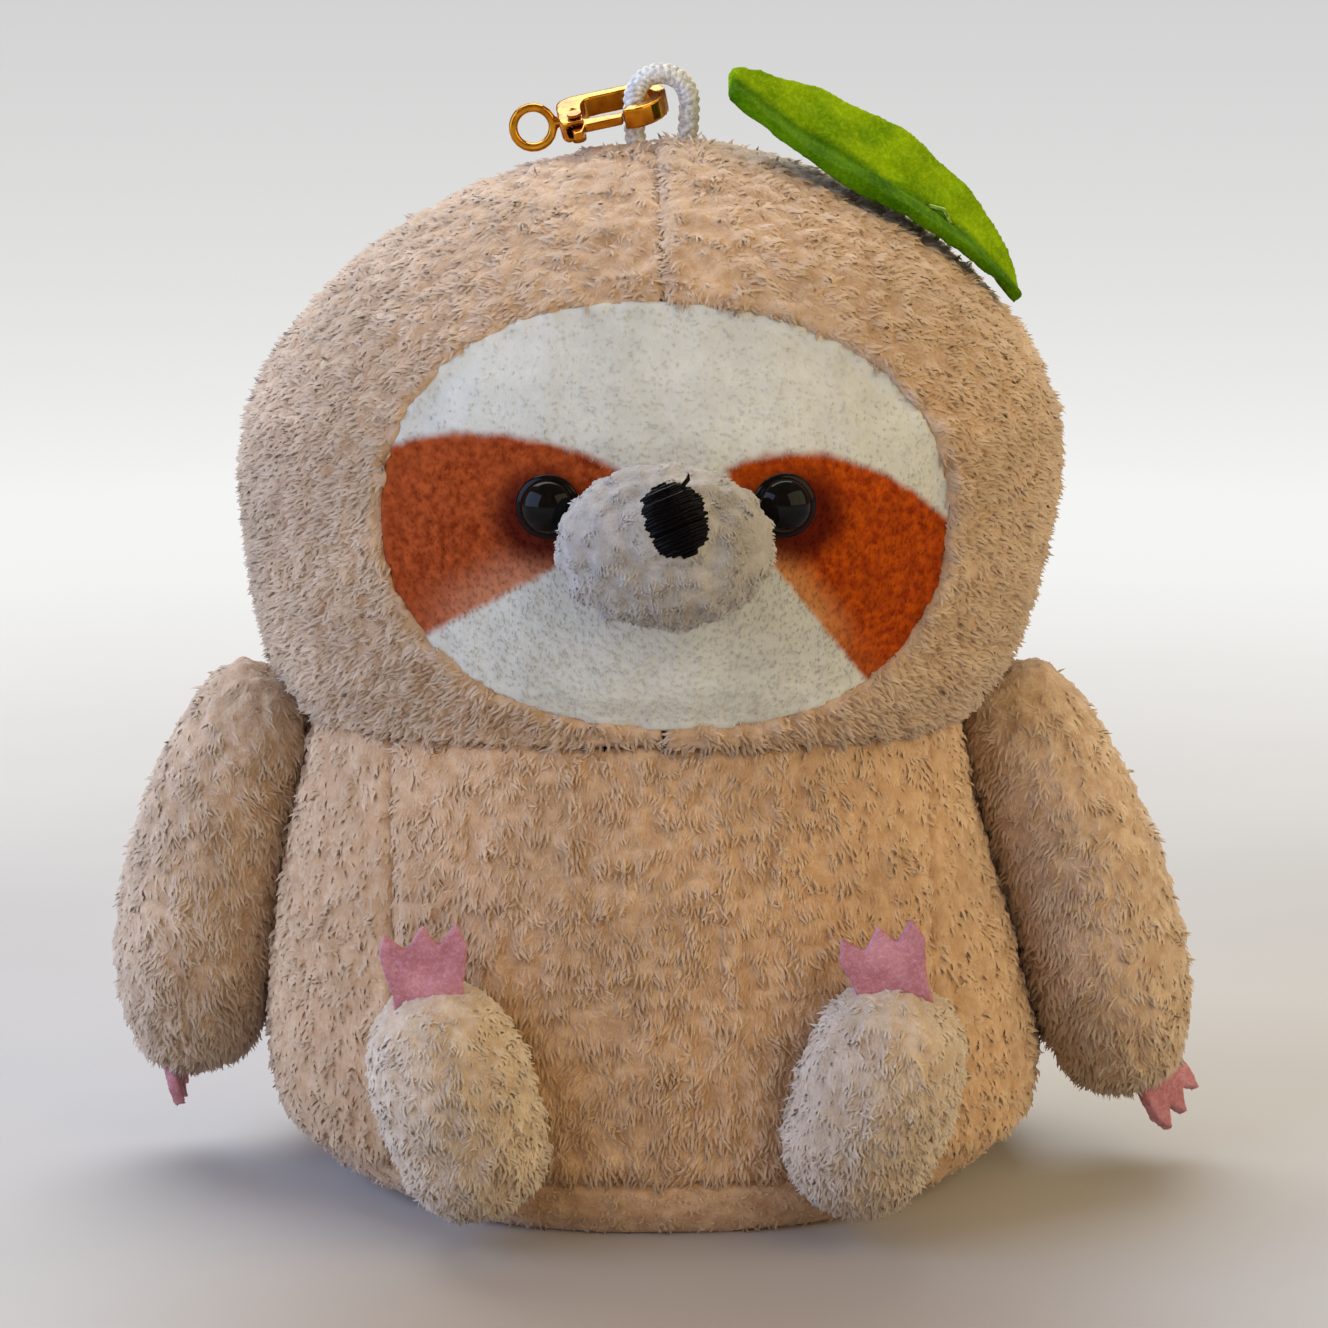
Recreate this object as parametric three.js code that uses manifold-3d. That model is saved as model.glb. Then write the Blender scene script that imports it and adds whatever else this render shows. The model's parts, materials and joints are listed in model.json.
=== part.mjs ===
// A small stuffed sloth of short plush that sits on a flat base and hangs by a cord loop
// and a swivel lobster clasp. Millimetres, +Z up, and the face looks along -Y.
// The origin is the middle of the flat base. Left and right are as seen from the front.
// The outlines run through the middle of the pile, so the loose fur stands about 1 mm proud.
import * as THREE from "three";
import { mergeVertices } from "three/addons/utils/BufferGeometryUtils.js";
import Module from "manifold-3d";

const wasm = await Module();
wasm.setup();

// Cloth and clearances
const GAP = 0.3; // between pieces that touch
const OVERRUN = 3; // how far a cutting shape runs past what it cuts
const WELD = 0.0001; // points closer than this are one point
const PLUSH = 1.5; // plush of the hood, body and limbs
const SHORT_PLUSH = 1.2; // short plush of the face and muzzle
const FELT = 1.1;
const THREAD = 0.5;

// Head
const NECK_HEIGHT = 42.5;
const HEAD_HEIGHT = 51.6;
const HEAD_WIDTH = 74.2;
const HEAD_DEPTH = 61;
const HEAD_OUTLINE_SHARES = [
  [0.815, 0],
  [0.862, 0.035],
  [0.918, 0.105],
  [0.952, 0.2],
  [0.986, 0.33],
  [1, 0.455],
  [0.972, 0.56],
  [0.888, 0.665],
  [0.74, 0.785],
  [0.53, 0.89],
  [0.26, 0.97],
  [0, 1],
];

// The toy sags to its left round the neck
const NECK_ASIDE = -2;
const UPRIGHT_HEIGHTS = [3, 36]; // the body starts to lean and has leant
const HEAD_UPRIGHT_POWER = 1.5; // how fast the head comes back over the base

// Face, let into the front of the hood
const FACE_WIDTH = 48.4;
const FACE_HEIGHT = 36.2;
const FACE_MIDDLE_SHARE = 0.393; // of the height of the head, as are the next two like it
const FACE_ASIDE = 0.2;
const FACE_LEAN_DEG = 4; // the right side hangs lower
const FACE_RECESS = 0.7;

// Muzzle and nose
const MUZZLE_WIDTH = 18.6;
const MUZZLE_HEIGHT = 14;
const MUZZLE_REACH = 10; // out of the face
const MUZZLE_MIDDLE_SHARE = 0.372;
const MUZZLE_LEFTWARD = 0.2;
const MUZZLE_OUTLINE_SHARES = [
  [0.66, -0.3],
  [0.74, 0],
  [0.91, 0.2],
  [1, 0.4],
  [0.98, 0.56],
  [0.82, 0.79],
  [0.5, 0.95],
  [0, 1],
];
const NOSE_WIDTH = 7;
const NOSE_HEIGHT = 6.6;
const NOSE_ABOVE = 0.2; // above the middle of the muzzle
const NOSE_ASIDE = 0.6;
const NOSE_PROUD = 0.3; // of its middle, out of the muzzle
const NOSE_LIFT_DEG = 14; // the nose looks up a little
const NOSE_THREAD = 1.1; // a strand of several threads
const NOSE_STRANDS = 7;
const NOSE_SINK_SHARE = 0.5; // of a strand that lies below the muzzle at its ends

// Eyes on stems, each held by a washer behind the face
const EYE_DIAMETER = 5.5;
const EYE_DOME = 2.3;
const EYE_RIM = 0.6;
const EYE_APART = 19.8;
const EYE_MIDDLE_SHARE = 0.426;
const EYE_TURN_DEG = 10; // each looks outwards a little
const EYE_STEM = 1.8;
const EYE_STEM_LENGTH = 6.5;
const WASHER_DIAMETER = 7.5;
const WASHER_THICKNESS = 1;

// Body and its flat base
const BODY_WIDTH = 70.8;
const BODY_DEPTH = 58;
const BASE_SEAM = 5.2; // height of the seam round the base panel
const FRONT_PANEL_WIDTH = 46.4;
const BODY_OUTLINE_SHARES = [
  [0.735, 0],
  [0.892, 0.068],
  [0.97, 0.14],
  [1, 0.25],
  [0.99, 0.38],
  [0.95, 0.58],
  [0.888, 0.8],
  [0.828, 1],
];
const BASE_FULLNESS = 5.2; // more of the base stands out to the front and back
const FULL_HEIGHT = 9; // height over which that runs out
const PELLET_BAG_WIDTH = 40;
const PELLET_BAG_HEIGHT = 11;
const BAG_OUTLINE_SHARES = [
  [0.7, 0],
  [1, 0.4],
  [0.8, 0.85],
  [0, 1],
];

// Arms, sewn in under the neck seam at their tops
const ARM_WIDTH = 15;
const ARM_DEPTH = 17;
const SHOULDER_OUT = { left: 3.6, right: 0.4 }; // beyond the neck seam
const SHOULDER_RISE = 4.1; // above the neck seam
const ELBOW_SPREAD = { left: 10.3, right: 9.7 };
const ELBOW_DROP = 15.4;
const HAND_SPREAD = { left: 10.1, right: 13.8 };
const HAND_DROP = { left: 38.3, right: 39.6 };
const HAND_FORWARD = { left: -1, right: 5 };
const ARM_LIFT_DEG = 45;
const ARM_OUTLINE_SHARES = [
  [0, 0],
  [0.48, 0.035],
  [0.78, 0.13],
  [0.94, 0.36],
  [1, 0.6],
  [0.92, 0.8],
  [0.62, 0.955],
  [0, 1],
];

// Legs, sewn to the base seam at their heels
const LEG_WIDTH = 13;
const LEG_DEPTH = 14;
const HEEL_APART_SHARE = 0.418; // of the width of the body
const TOE_APART_SHARE = 0.593;
const HEEL_HEIGHT = 3.6;
const TOE_HEIGHT = 23.2;
const TOE_FORWARD = 2.8; // in front of the heel, which is at the front of the body
const LEG_LIFT_DEG = 25;
const LEG_OUTLINE_SHARES = [
  [0, 0],
  [0.6, 0.06],
  [0.92, 0.22],
  [1, 0.45],
  [0.97, 0.68],
  [0.68, 0.92],
  [0, 1],
];
const LIMB_MOUTH = 5; // opening through which a limb is filled and sewn on
const LIMB_MOUTH_SHARE = 0.24; // of the limb's length

// Felt claws with three points, sewn into the hands and feet
const CLAW_WIDTH = 7.6;
const CLAW_ROOT = 2.4;
const FOOT_CLAW_LENGTH = 5.8;
const FOOT_CLAW_INWARD = { left: 0.7, right: 1.7 };
const FOOT_CLAW_LEAN_DEG = { left: 6, right: 15 }; // both lean to the left
const HAND_CLAW_LENGTH = 5.8;
const HAND_CLAW_OUTWARD = { left: 2.6, right: 1.8 };
const HAND_CLAW_SET = 2.2; // above the lowest point of the hand
const HAND_CLAW_TILT_DEG = { left: 14, right: 36 }; // both tilt to the right
const HAND_CLAW_TURN_DEG = { left: 0, right: 35 };
const CLAW_OUTLINE_SHARES = [
  [0.4, 0],
  [0.5, 0.64],
  [0.4, 0.97],
  [0.17, 0.66],
  [0.02, 1],
  [-0.19, 0.66],
  [-0.42, 0.93],
  [-0.5, 0.6],
  [-0.4, 0],
];

// Felt leaf that lies over the right of the crown
const LEAF_WIDTH = 13;
const LEAF_ALONG_SHARES = [0.17, 0.86]; // of the half width of the head, stem to tip
const LEAF_FORWARD_SHARES = [0.12, 0.1]; // of the half depth of the head, stem to tip
const LEAF_REST = 1.6; // above the hood where it is tacked down on the pile
const LEAF_RISE = 3.3; // of the stem end above the hood
const LEAF_FOLD_DEG = 40; // the far half stands up from the fold
const LEAF_FALL_SHARE = 0.45; // of its length, over which the stem end comes down
const LEAF_OUTLINE_SHARES = [
  [0.3, 0],
  [0.62, 0.14],
  [0.92, 0.32],
  [1, 0.5],
  [0.93, 0.68],
  [0.76, 0.87],
  [0.24, 1],
];
const LEAF_TACK_SHARE = 0.72; // of its length
const TACK_STITCH = 2.4;
const TACK_DEPTH = 3;
const TACK_HALF_SHARES = [
  [0.5, 0],
  [0.42, 0.8],
]; // how far out and how high the stitch runs, from its foot to its top

// Cord loop, knotted inside the crown
const CORD_DIAMETER = 2;
const LOOP_SPAN = 5; // between the two legs
const LOOP_RISE = 5.7; // top of the loop's middle line above the crown
const LOOP_ASIDE = 0.4;
const LOOP_LEG_SHARES = [
  [0.9, 0.6],
  [1, 0.25],
]; // how wide and how deep each leg runs between the crown and the knot
const KNOT_DEPTH = 8.5;
const KNOT_DIAMETER = 5.6;

// Lobster clasp: its own frame has X towards the hook, Z through its thickness
const CLASP_PLAY = 0.15;
const CLASP_RISE = 2.8; // above the crown
const CLASP_SLOPE_DEG = 12;
const CLASP_TILT_DEG = 20;
const CLASP_THICKNESS = 1.9;
const CLASP_LENGTH = 6.9; // from the cord to the neck
const HOOK_THICKNESS = 1.2;
const HOOK_ROOM = 0.6;
const HOOK_END_DEG = 112;
const MOUTH_LENGTH = 3.5;
const NECK_DIAMETER = 2.4;
const NECK_WALL = 1.05;
const GATE_THICKNESS = 0.8;
const GATE_WIDTH = 1.1;
const GATE_PIVOT_BACK = 5.4;
const GATE_PIVOT_SIDE = 2;
const GATE_ROOT = 0.75;
const SLOT_SIDE = 0.8;
const PIN_DIAMETER = 0.8;
const PIN_HEAD = 0.25;
const LEVER_REACH = 1.5;
const SPRING_THICKNESS = 0.2;
const SWIVEL_DIAMETER = 4.4;
const SWIVEL_BORE = 2.8;
const SWIVEL_THICKNESS = 1;
const SWIVEL_TURN_DEG = 72;
const POST_DIAMETER = 1;
const POST_HEAD_DIAMETER = 1.5;
const POST_HEAD = 0.5;

// How finely the forms are faceted: steps along and sides round
const HEAD_FACETS = { outer: [13, 36], inner: [8, 20] };
const BODY_FACETS = { outer: [10, 34], inner: [7, 20] };
const LIMB_FACETS = { outer: [10, 16], inner: [6, 9] };
const MUZZLE_FACETS = { outer: [7, 20], inner: [4, 12] };
const BAG_FACETS = { outer: [5, 16], inner: [5, 16] };
const ROUND = 20;
const SMALL_ROUND = 12;
const CORD_SIDES = 8;
const CORD_STEPS = 30;
const THREAD_SIDES = 5;
const THREAD_STEPS = 4;
const FACE_POINTS = 32;
const LEAF_STEPS = 12;
const LEAF_ACROSS_SHARES = [-1, -0.5, 0, 0.5, 1];
const LOOP_ARCH_STEPS = 6;
const LIFT_STEPS = 3; // angles at which a limb is kept clear of the head and body

const TURN = 2 * Math.PI;
const SQUARENESS_SHARE = 0.89; // 1 is a plain ellipse, less is squarer
const UP = new THREE.Vector3(0, 0, 1);
const RIGHT = new THREE.Vector3(1, 0, 0);
const FRONT = new THREE.Vector3(0, -1, 0);
const SIDES = { left: -1, right: 1 };
const radians = THREE.MathUtils.degToRad;

// Solids and how they are cut

function solidOf(geometry) {
  const bare = new THREE.BufferGeometry();
  const source = geometry.index ? geometry.toNonIndexed() : geometry;
  bare.setAttribute("position", source.getAttribute("position"));
  const merged = mergeVertices(bare, WELD);
  const build = (triVerts) =>
    new wasm.Manifold(
      new wasm.Mesh({
        numProp: 3,
        vertProperties: new Float32Array(merged.attributes.position.array),
        triVerts,
      }),
    );
  const triVerts = new Uint32Array(merged.index.array);
  const solid = build(triVerts);
  return solid.volume() < 0 ? build(triVerts.slice().reverse()) : solid;
}

function geometryOf(solid) {
  const mesh = solid.getMesh();
  const geometry = new THREE.BufferGeometry();
  geometry.setAttribute("position", new THREE.BufferAttribute(mesh.vertProperties, mesh.numProp));
  geometry.setIndex(new THREE.BufferAttribute(mesh.triVerts, 1));
  geometry.computeVertexNormals();
  return geometry;
}

function cut(solid, ...tools) {
  return tools.flat().reduce((left, tool) => left.subtract(tool), solid);
}

function moved(solid, matrix) {
  return solid.transform(matrix.elements);
}

function turnedAbout(pivot, axis, angle) {
  const back = new THREE.Matrix4().makeTranslation(-pivot.x, -pivot.y, -pivot.z);
  const turn = new THREE.Matrix4().makeRotationAxis(axis, angle);
  return new THREE.Matrix4().makeTranslation(pivot).multiply(turn).multiply(back);
}

// A matrix that sets a shape made round the Y axis at a place, looking along a direction
function aimed(place, direction) {
  const turn = new THREE.Quaternion().setFromUnitVectors(new THREE.Vector3(0, 1, 0), direction);
  return new THREE.Matrix4().compose(place, turn, new THREE.Vector3(1, 1, 1));
}

function box(low, high) {
  const size = new THREE.Vector3().subVectors(high, low);
  const middle = new THREE.Vector3().addVectors(low, high).multiplyScalar(0.5);
  return solidOf(new THREE.BoxGeometry(size.x, size.y, size.z).translate(...middle));
}

// Everything on one side of a plane across an axis
function halfSpace(axis, from, sign) {
  const reach = HEAD_WIDTH + BODY_WIDTH;
  const low = new THREE.Vector3(-reach, -reach, -reach);
  const high = new THREE.Vector3(reach, reach, reach);
  (sign > 0 ? low : high)[axis] = from;
  return box(low, high);
}

// A round bar between two places
function bar(from, to, diameter, sides) {
  const along = new THREE.Vector3().subVectors(to, from);
  const shape = new THREE.CylinderGeometry(diameter / 2, diameter / 2, along.length(), sides);
  const middle = new THREE.Vector3().addVectors(from, to).multiplyScalar(0.5);
  return moved(solidOf(shape), aimed(middle, along.normalize()));
}

// A tube along a curve, closed at both ends
function tube(curve, diameter, steps, sides) {
  const corners = Array.from({ length: sides }, (_, side) =>
    new THREE.Vector2(diameter / 2, 0).rotateAround(new THREE.Vector2(), (TURN * side) / sides),
  );
  const outline = new THREE.Shape(corners);
  const options = { extrudePath: curve, steps, bevelEnabled: false };
  return solidOf(new THREE.ExtrudeGeometry(outline, options));
}

// A shape given by its turned profile, drawn as pairs of radius and height
function turned(profile, sides) {
  return solidOf(new THREE.LatheGeometry(profile.map((pair) => new THREE.Vector2(...pair)), sides));
}

// Stuffed forms: rings along a spine that swell and taper by an outline

function skin(rings, first, last) {
  const points = [first, ...rings.flat(), last];
  const count = rings[0].length;
  const faces = [];
  const corner = (ring, side) => 1 + ring * count + (side % count);
  for (let side = 0; side < count; side++) {
    faces.push(0, corner(0, side + 1), corner(0, side));
    for (let ring = 0; ring + 1 < rings.length; ring++) {
      faces.push(corner(ring, side), corner(ring, side + 1), corner(ring + 1, side + 1));
      faces.push(corner(ring, side), corner(ring + 1, side + 1), corner(ring + 1, side));
    }
    faces.push(corner(rings.length - 1, side), corner(rings.length - 1, side + 1), points.length - 1);
  }
  const geometry = new THREE.BufferGeometry().setFromPoints(points);
  return solidOf(geometry.setIndex(faces));
}

// The middle of a form at a way along its spine, which may lie past the spine's ends
function placeOn({ spine, aside }, way) {
  const share = THREE.MathUtils.clamp(way / spine.getLength(), 0, 1);
  const along = spine.getTangentAt(share);
  const past = way - share * spine.getLength();
  const middle = spine.getPointAt(share).addScaledVector(along, past);
  if (aside) middle.x += aside(middle.z);
  return { along, middle };
}

// inset draws the form in all round, or grows it where it is negative.
// open lengthens a flat end, so that a hollow breaks out of the form it is cut from.
function stuffed(form, inset = 0, facets = "outer", open = {}) {
  const length = form.spine.getLength();
  const corners = form.outline.map(
    ([size, way]) => new THREE.Vector2((size * form.width) / 2, way * length),
  );
  const outline = new THREE.SplineCurve(corners);
  const [steps, sides] = form.facets[facets];
  const flatness = form.depth / form.width;
  const { full = 0, high = length } = form.foot ?? {};
  const levels = [];
  for (let step = 0; step <= steps; step++) {
    const edge = outline.getPointAt(step / steps);
    const slope = outline.getTangentAt(step / steps);
    const left = Math.max(0, 1 - edge.y / high); // of the height over which the foot is full
    const rise = slope.x * flatness - (2 * full * left * slope.y) / high;
    const half = edge.x - inset * slope.y;
    const deep = edge.x * flatness + full * left ** 2 - (inset * slope.y) / Math.hypot(rise, slope.y);
    levels.push({ half, deep, way: edge.y + inset * slope.x });
  }
  if (open.start) levels.unshift({ ...levels[0], way: levels[0].way - open.start });
  if (open.end) levels.push({ ...levels.at(-1), way: levels.at(-1).way + open.end });
  const rings = levels
    .filter(({ half, deep }) => Math.min(half, deep) > WELD)
    .map(({ half, deep, way }) => {
      const { along, middle } = placeOn(form, way);
      const across = form.across.clone().addScaledVector(along, -form.across.dot(along)).normalize();
      const third = new THREE.Vector3().crossVectors(along, across);
      return Array.from({ length: sides }, (_, side) => {
        const angle = (TURN * (side + 0.5)) / sides;
        const wide = half * rounded(Math.cos(angle), form.square);
        const thick = deep * rounded(Math.sin(angle), form.square);
        return middle.clone().addScaledVector(across, wide).addScaledVector(third, thick);
      });
    });
  const first = placeOn(form, levels[0].way).middle;
  const last = placeOn(form, levels.at(-1).way).middle;
  return skin(rings, first, last);
}

function rounded(value, square) {
  return Math.sign(value) * Math.abs(value) ** (square ? SQUARENESS_SHARE : 1);
}

// Where each form stands and how wide it is

const crown = NECK_HEIGHT + HEAD_HEIGHT;
const neckHalfWidth = (BODY_OUTLINE_SHARES.at(-1)[0] * BODY_WIDTH) / 2;
const at = (x, y, z) => new THREE.Vector3(x, y, z);

// How far the middle of the head or body stands aside at a height
function lean(height) {
  if (height < NECK_HEIGHT) return NECK_ASIDE * THREE.MathUtils.smoothstep(height, ...UPRIGHT_HEIGHTS);
  return NECK_ASIDE * Math.max(0, (crown - height) / HEAD_HEIGHT) ** HEAD_UPRIGHT_POWER;
}

const head = {
  aside: lean,
  spine: new THREE.LineCurve3(at(0, 0, NECK_HEIGHT + GAP / 2), at(0, 0, crown)),
  across: RIGHT,
  width: HEAD_WIDTH,
  depth: HEAD_DEPTH,
  outline: HEAD_OUTLINE_SHARES,
  facets: HEAD_FACETS,
  square: true,
};

const body = {
  aside: lean,
  foot: { full: BASE_FULLNESS, high: FULL_HEIGHT },
  spine: new THREE.LineCurve3(at(0, 0, 0), at(0, 0, NECK_HEIGHT - GAP / 2)),
  across: RIGHT,
  width: BODY_WIDTH,
  depth: BODY_DEPTH,
  outline: BODY_OUTLINE_SHARES,
  facets: BODY_FACETS,
  square: true,
};

const pelletBag = {
  spine: new THREE.LineCurve3(
    at(0, 0, PLUSH + GAP),
    at(0, 0, PLUSH + GAP + PELLET_BAG_HEIGHT),
  ),
  across: RIGHT,
  width: PELLET_BAG_WIDTH,
  depth: (PELLET_BAG_WIDTH * BODY_DEPTH) / BODY_WIDTH,
  outline: BAG_OUTLINE_SHARES,
  facets: BAG_FACETS,
};

// The half width of the head's outline at a height, read the other way round:
// the height of the hood over a place on the plan
const headProfile = new THREE.SplineCurve(
  HEAD_OUTLINE_SHARES.map(
    ([size, way]) =>
      new THREE.Vector2((size * HEAD_WIDTH) / 2, NECK_HEIGHT + GAP / 2 + way * head.spine.getLength()),
  ),
).getSpacedPoints(HEAD_FACETS.outer[0] * HEAD_FACETS.outer[1]);

function hoodHeight(x, y) {
  const power = 2 / SQUARENESS_SHARE;
  const deep = (Math.abs(y) * HEAD_WIDTH) / HEAD_DEPTH;
  const out = (Math.abs(x) ** power + deep ** power) ** (1 / power);
  const reached = headProfile.findLastIndex((point) => point.x >= out);
  const [below, above] = [headProfile.at(Math.max(reached, 0)), headProfile.at(reached + 1)];
  const share = (below.x - out) / Math.max(below.x - above.x, WELD);
  return below.y + THREE.MathUtils.clamp(share, 0, 1) * (above.y - below.y);
}

// Where the outside of the face panel lies at a height
function faceFront(height) {
  const level = headProfile.findLast((point) => point.y <= height);
  return (-level.x * HEAD_DEPTH) / HEAD_WIDTH + FACE_RECESS;
}

const onHead = (share) => NECK_HEIGHT + share * HEAD_HEIGHT;
const muzzleHeight = onHead(MUZZLE_MIDDLE_SHARE);
const muzzleBase = at(-MUZZLE_LEFTWARD, faceFront(muzzleHeight), muzzleHeight);
const muzzle = {
  spine: new THREE.LineCurve3(
    muzzleBase,
    muzzleBase.clone().addScaledVector(FRONT, MUZZLE_REACH),
  ),
  across: RIGHT,
  width: MUZZLE_WIDTH,
  depth: MUZZLE_HEIGHT,
  outline: MUZZLE_OUTLINE_SHARES,
  facets: MUZZLE_FACETS,
};

const shoulderOut = (side) => neckHalfWidth + SHOULDER_OUT[side];

function armSpine(side) {
  const out = SIDES[side];
  const forward = HAND_FORWARD[side];
  const shoulder = at(out * shoulderOut(side), 0, NECK_HEIGHT + SHOULDER_RISE);
  const elbow = shoulder.clone().add(at(out * ELBOW_SPREAD[side], -forward / 2, -ELBOW_DROP));
  const hand = shoulder.clone().add(at(out * HAND_SPREAD[side], -forward, -HAND_DROP[side]));
  return new THREE.QuadraticBezierCurve3(shoulder, elbow, hand);
}

function legSpine(side) {
  const out = (SIDES[side] * BODY_WIDTH) / 2;
  const heel = at(out * HEEL_APART_SHARE, -BODY_DEPTH / 2, HEEL_HEIGHT);
  const toe = at(out * TOE_APART_SHARE, heel.y - TOE_FORWARD, TOE_HEIGHT);
  return new THREE.LineCurve3(heel, toe);
}

const limb = (spine, width, depth, outline) => ({
  spine,
  across: RIGHT,
  width,
  depth,
  outline,
  facets: LIMB_FACETS,
});

// The places that the moving pieces turn about
const shoulderPivot = (side) =>
  at(SIDES[side] * shoulderOut(side), 0, NECK_HEIGHT + SHOULDER_RISE - GAP * 2);
const heelPivot = (side) => legSpine(side).getPoint(0).setZ(BASE_SEAM);

// Materials

const finish = (color, roughness, metalness = 0) =>
  new THREE.MeshStandardMaterial({ color, roughness, metalness });
const beigePlush = finish(0xc8b19a, 0.95);
const creamPlush = finish(0xcfbfae, 0.95);
const whitePlush = finish(0xe4e2d8, 0.95);
const greyPlush = finish(0xb9b4ae, 0.95);
const pinkFelt = finish(0xbe848e, 0.9);
const greenFelt = finish(0x6f9d12, 0.9);
const blackThread = finish(0x17131a, 0.5);
const greenThread = finish(0x4d7a10, 0.7);
const whiteCord = finish(0xd8d4d6, 0.8);
const blackPlastic = finish(0x070708, 0.12);
const clearPlastic = finish(0xdad9d2, 0.4);
const gold = finish(0xc98a1e, 0.22, 1);
const steel = finish(0x9a9a9a, 0.35, 1);
const wadding = finish(0xf2f0ea, 1);
const calico = finish(0xded6c4, 0.95);

const sloth = new THREE.Group();

function addPiece(name, solid, material, group = sloth) {
  const mesh = new THREE.Mesh(geometryOf(solid), material);
  mesh.name = name;
  group.add(mesh);
  return mesh;
}

// Eyes and washers, as a turned shape round its own Y axis with the back of the rim at zero

function eyeShape(grow = 0) {
  const radius = EYE_DIAMETER / 2 + grow;
  const stem = EYE_STEM / 2 + grow;
  const dome = Array.from({ length: SMALL_ROUND / 2 }, (_, step) => {
    const angle = (TURN / 4) * (step / (SMALL_ROUND / 2));
    return [radius * Math.cos(angle), EYE_RIM + (EYE_DOME - EYE_RIM + grow) * Math.sin(angle)];
  });
  const rim = [
    [0, -EYE_STEM_LENGTH - grow],
    [stem, -EYE_STEM_LENGTH - grow],
    [stem, -grow],
    [radius, -grow],
  ];
  return turned([...rim, ...dome, [0, EYE_DOME + grow]], ROUND);
}

function washerShape(grow = 0) {
  const outer = WASHER_DIAMETER / 2 + grow;
  const inner = EYE_STEM / 2 + GAP - grow;
  const top = -SHORT_PLUSH - GAP * 4 + grow;
  const bottom = top - WASHER_THICKNESS - grow * 2;
  const edge = [
    [inner, bottom],
    [outer, bottom],
    [outer, top],
    [inner, top],
    [inner, bottom],
  ];
  return turned(edge, ROUND);
}

function eyeMatrix(side) {
  const turn = radians(EYE_TURN_DEG) * SIDES[side];
  const direction = at(Math.sin(turn), -Math.cos(turn), 0);
  const x = (SIDES[side] * EYE_APART) / 2;
  const height = onHead(EYE_MIDDLE_SHARE);
  const front = faceFront(height);
  const half = (-front * HEAD_WIDTH) / HEAD_DEPTH;
  const out = Math.abs(x - lean(height)) / half;
  const bend = (1 - out ** (2 / SQUARENESS_SHARE)) ** (SQUARENESS_SHARE / 2);
  const place = at(x, front * bend - GAP, height);
  return aimed(place, direction);
}

// Cord loop with its knot

function loopCurve() {
  const half = LOOP_SPAN / 2;
  const top = crown + LOOP_RISE - half;
  const leg = [[0, 1], ...LOOP_LEG_SHARES, [1, 0]].map(([wide, deep]) => [
    half * wide,
    crown - KNOT_DEPTH * deep,
  ]);
  const arch = Array.from({ length: LOOP_ARCH_STEPS + 1 }, (_, step) => {
    const angle = (TURN / 2) * (step / LOOP_ARCH_STEPS);
    return [half * Math.cos(angle), top + half * Math.sin(angle)];
  });
  const otherLeg = leg.toReversed().map(([x, z]) => [-x, z]);
  const points = [...leg, ...arch, ...otherLeg].map(([x, z]) => at(LOOP_ASIDE + x, 0, z));
  return new THREE.CatmullRomCurve3(points);
}

function cordLoop(grow = 0) {
  const cord = tube(loopCurve(), CORD_DIAMETER + grow * 2, CORD_STEPS, CORD_SIDES);
  const knot = new THREE.SphereGeometry(KNOT_DIAMETER / 2 + grow, SMALL_ROUND, SMALL_ROUND / 2);
  return cord.add(solidOf(knot.translate(LOOP_ASIDE, 0, crown - KNOT_DEPTH)));
}

// Leaf: a felt sheet that follows the hood under it, folded along its middle

function leafShare(share, [from, to]) {
  return THREE.MathUtils.lerp(from, to, share);
}

// The middle of the leaf's lower face at a share of its length, and across by a distance
function leafPoint(share, aside) {
  const x = (leafShare(share, LEAF_ALONG_SHARES) * HEAD_WIDTH) / 2;
  const y = (-leafShare(share, LEAF_FORWARD_SHARES) * HEAD_DEPTH) / 2 + aside;
  const fall = Math.max(0, 1 - share / LEAF_FALL_SHARE) ** 2;
  const fold = Math.max(0, aside) * Math.tan(radians(LEAF_FOLD_DEG));
  return at(x, y, hoodHeight(x, y) + LEAF_REST + LEAF_RISE * fall + fold);
}

function leafNormal(share, aside) {
  const step = LEAF_WIDTH / LEAF_STEPS;
  const little = 1 / LEAF_STEPS;
  const here = leafPoint(share, aside);
  const along = leafPoint(share + little, aside).sub(leafPoint(share - little, aside));
  const across = leafPoint(share, aside + step).sub(here);
  return along.cross(across).normalize();
}

function leafSolid() {
  const outline = new THREE.SplineCurve(
    LEAF_OUTLINE_SHARES.map(([size, way]) => new THREE.Vector2((size * LEAF_WIDTH) / 2, way)),
  );
  const rings = [];
  for (let step = 0; step <= LEAF_STEPS; step++) {
    const { x: half, y: share } = outline.getPointAt(step / LEAF_STEPS);
    const lower = LEAF_ACROSS_SHARES.map((side) => leafPoint(share, side * half));
    const upper = LEAF_ACROSS_SHARES.map((side, i) =>
      lower[i].clone().addScaledVector(leafNormal(share, side * half), FELT),
    );
    rings.push([...lower, ...upper.reverse()]);
  }
  const middle = (ring) =>
    ring.reduce((sum, point) => sum.add(point), at(0, 0, 0)).divideScalar(ring.length);
  return skin(rings, middle(rings[0]), middle(rings.at(-1)));
}

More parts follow.
